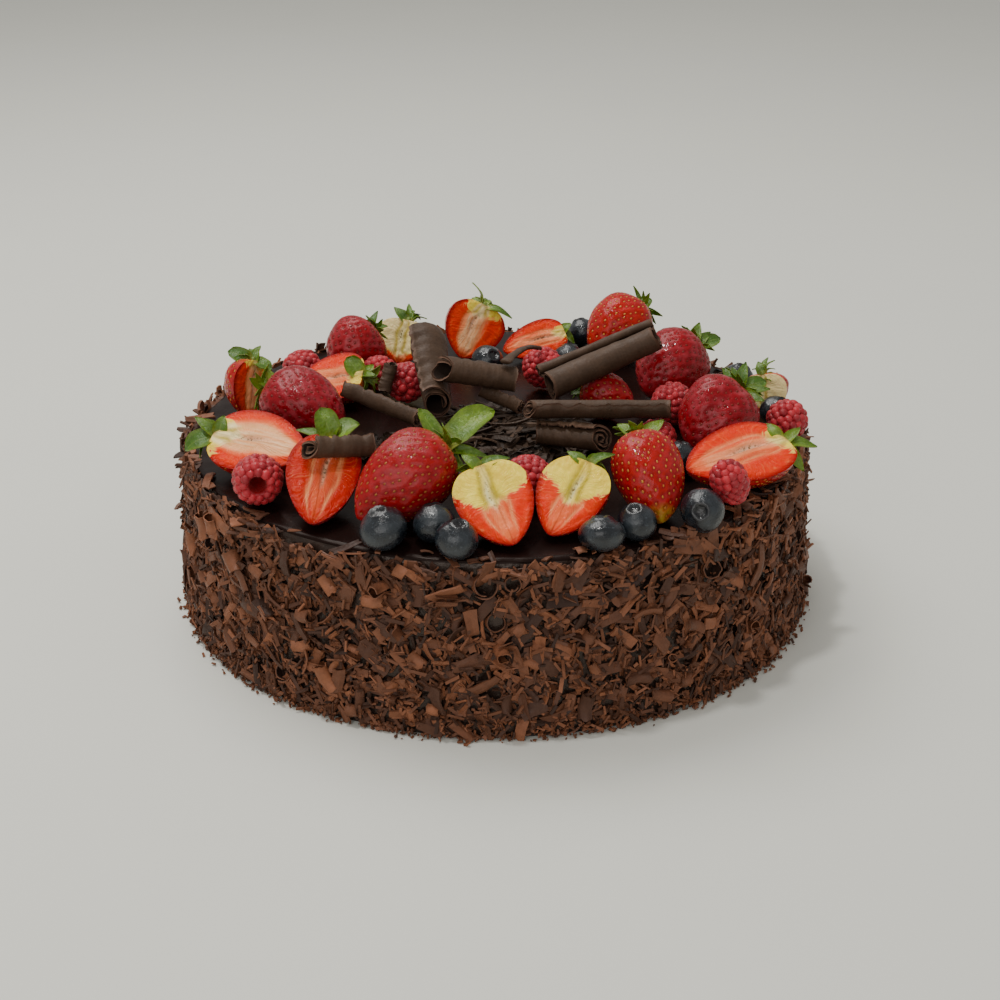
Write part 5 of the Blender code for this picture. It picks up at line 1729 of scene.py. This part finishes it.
class CAKE_OT_raspberries(CakeOperator, Operator):
    """Build the raspberries"""

    bl_idname = "cake.raspberries"
    bl_label = "Raspberries"

    def execute(self, context):
        material = raspberry_material(context.scene.cake_berries)
        for berry in RASPBERRIES:
            raspberry(berry, [material])
        return {"FINISHED"}


class CAKE_OT_blueberries(CakeOperator, Operator):
    """Build the blueberries"""

    bl_idname = "cake.blueberries"
    bl_label = "Blueberries"

    def execute(self, context):
        material = blueberry_material(context.scene.cake_berries)
        for berry in BLUEBERRIES:
            blueberry(berry, [material])
        return {"FINISHED"}


class CAKE_OT_curls(CakeOperator, Operator):
    """Build the rolled curls, the splinter and the broken slabs"""

    bl_idname = "cake.curls"
    bl_label = "Chocolate Curls"

    def execute(self, context):
        settings = context.scene.cake_curls
        rolled, dark = curl_material(settings), shaving_material(settings)
        for curl in CURLS:
            curl_piece(curl, settings, [rolled])
        splinter([rolled])
        for slab in BARKS:
            bark(slab, [dark])
        shavings_heap(settings, [dark])
        return {"FINISHED"}


class CAKE_OT_stage(CakeOperator, Operator):
    """Add the floor, the lights and the camera"""

    bl_idname = "cake.stage"
    bl_label = "Stage"

    def execute(self, context):
        settings = context.scene.cake_stage
        mesh = bpy.data.meshes.new("floor")
        mesh.from_pydata([(-6, -6, 0), (6, -6, 0), (6, 8, 0), (-6, 8, 0)], [], [(0, 1, 2, 3)])
        material, tree, shader = new_material("pale cloth", Roughness=0.75)
        colour = tuple(settings.floor)
        tree.feed(shader.inputs["Base Color"], mottle(tree, colour, darker(colour, 0.96), 3.0, 0.5))
        mesh.materials.append(material)
        floor = bpy.data.objects.new("floor", mesh)
        context.scene.collection.objects.link(floor)
        for light, power in zip(LIGHTS, (settings.key, settings.fill, settings.glint)):
            add_light(light, power)
        world = bpy.data.worlds.new("room")
        world.use_nodes = True
        background = world.node_tree.nodes["Background"]
        background.inputs["Color"].default_value = (1.0, 0.985, 0.945, 1)
        background.inputs["Strength"].default_value = settings.sky
        context.scene.world = world
        camera_data = bpy.data.cameras.new("camera")
        camera_data.lens = CAMERA_LENS
        camera_data.sensor_width = 36
        camera = bpy.data.objects.new("camera", camera_data)
        camera.location = CAMERA_PLACE
        camera.rotation_euler = (math.pi / 2 - CAMERA_DOWN, 0, 0)
        context.scene.collection.objects.link(camera)
        context.scene.camera = camera
        return {"FINISHED"}


OPERATORS = (
    CAKE_OT_ganache, CAKE_OT_flakes, CAKE_OT_strawberries, CAKE_OT_raspberries, CAKE_OT_blueberries,
    CAKE_OT_curls, CAKE_OT_stage,
)


SETTINGS = {
    "cake": CakeSettings,
    "cake_berries": BerrySettings,
    "cake_curls": CurlSettings,
    "cake_stage": StageSettings,
}


class CAKE_PT_panel(Panel):
    """The cake's pieces and their settings, in the 3D view's sidebar"""

    bl_label = "Black Forest Cake"
    bl_idname = "CAKE_PT_panel"
    bl_space_type = "VIEW_3D"
    bl_region_type = "UI"
    bl_category = "Cake"

    def draw(self, context):
        for operator in OPERATORS:
            self.layout.operator(operator.bl_idname)
        for group in (getattr(context.scene, name) for name in SETTINGS):
            box = self.layout.box()
            for name in group.__annotations__:
                box.prop(group, name)


def register():
    for made in (*SETTINGS.values(), *OPERATORS, CAKE_PT_panel):
        bpy.utils.register_class(made)
    for name, group in SETTINGS.items():
        setattr(bpy.types.Scene, name, PointerProperty(type=group))


def unregister():
    for name in SETTINGS:
        delattr(bpy.types.Scene, name)
    for made in reversed((*SETTINGS.values(), *OPERATORS, CAKE_PT_panel)):
        bpy.utils.unregister_class(made)


def main():
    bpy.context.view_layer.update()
    register()
    bpy.ops.cake.ganache()
    bpy.ops.cake.flakes()
    bpy.ops.cake.strawberries()
    bpy.ops.cake.raspberries()
    bpy.ops.cake.blueberries()
    bpy.ops.cake.curls()
    bpy.ops.cake.stage()


if __name__ == "__main__":
    main()
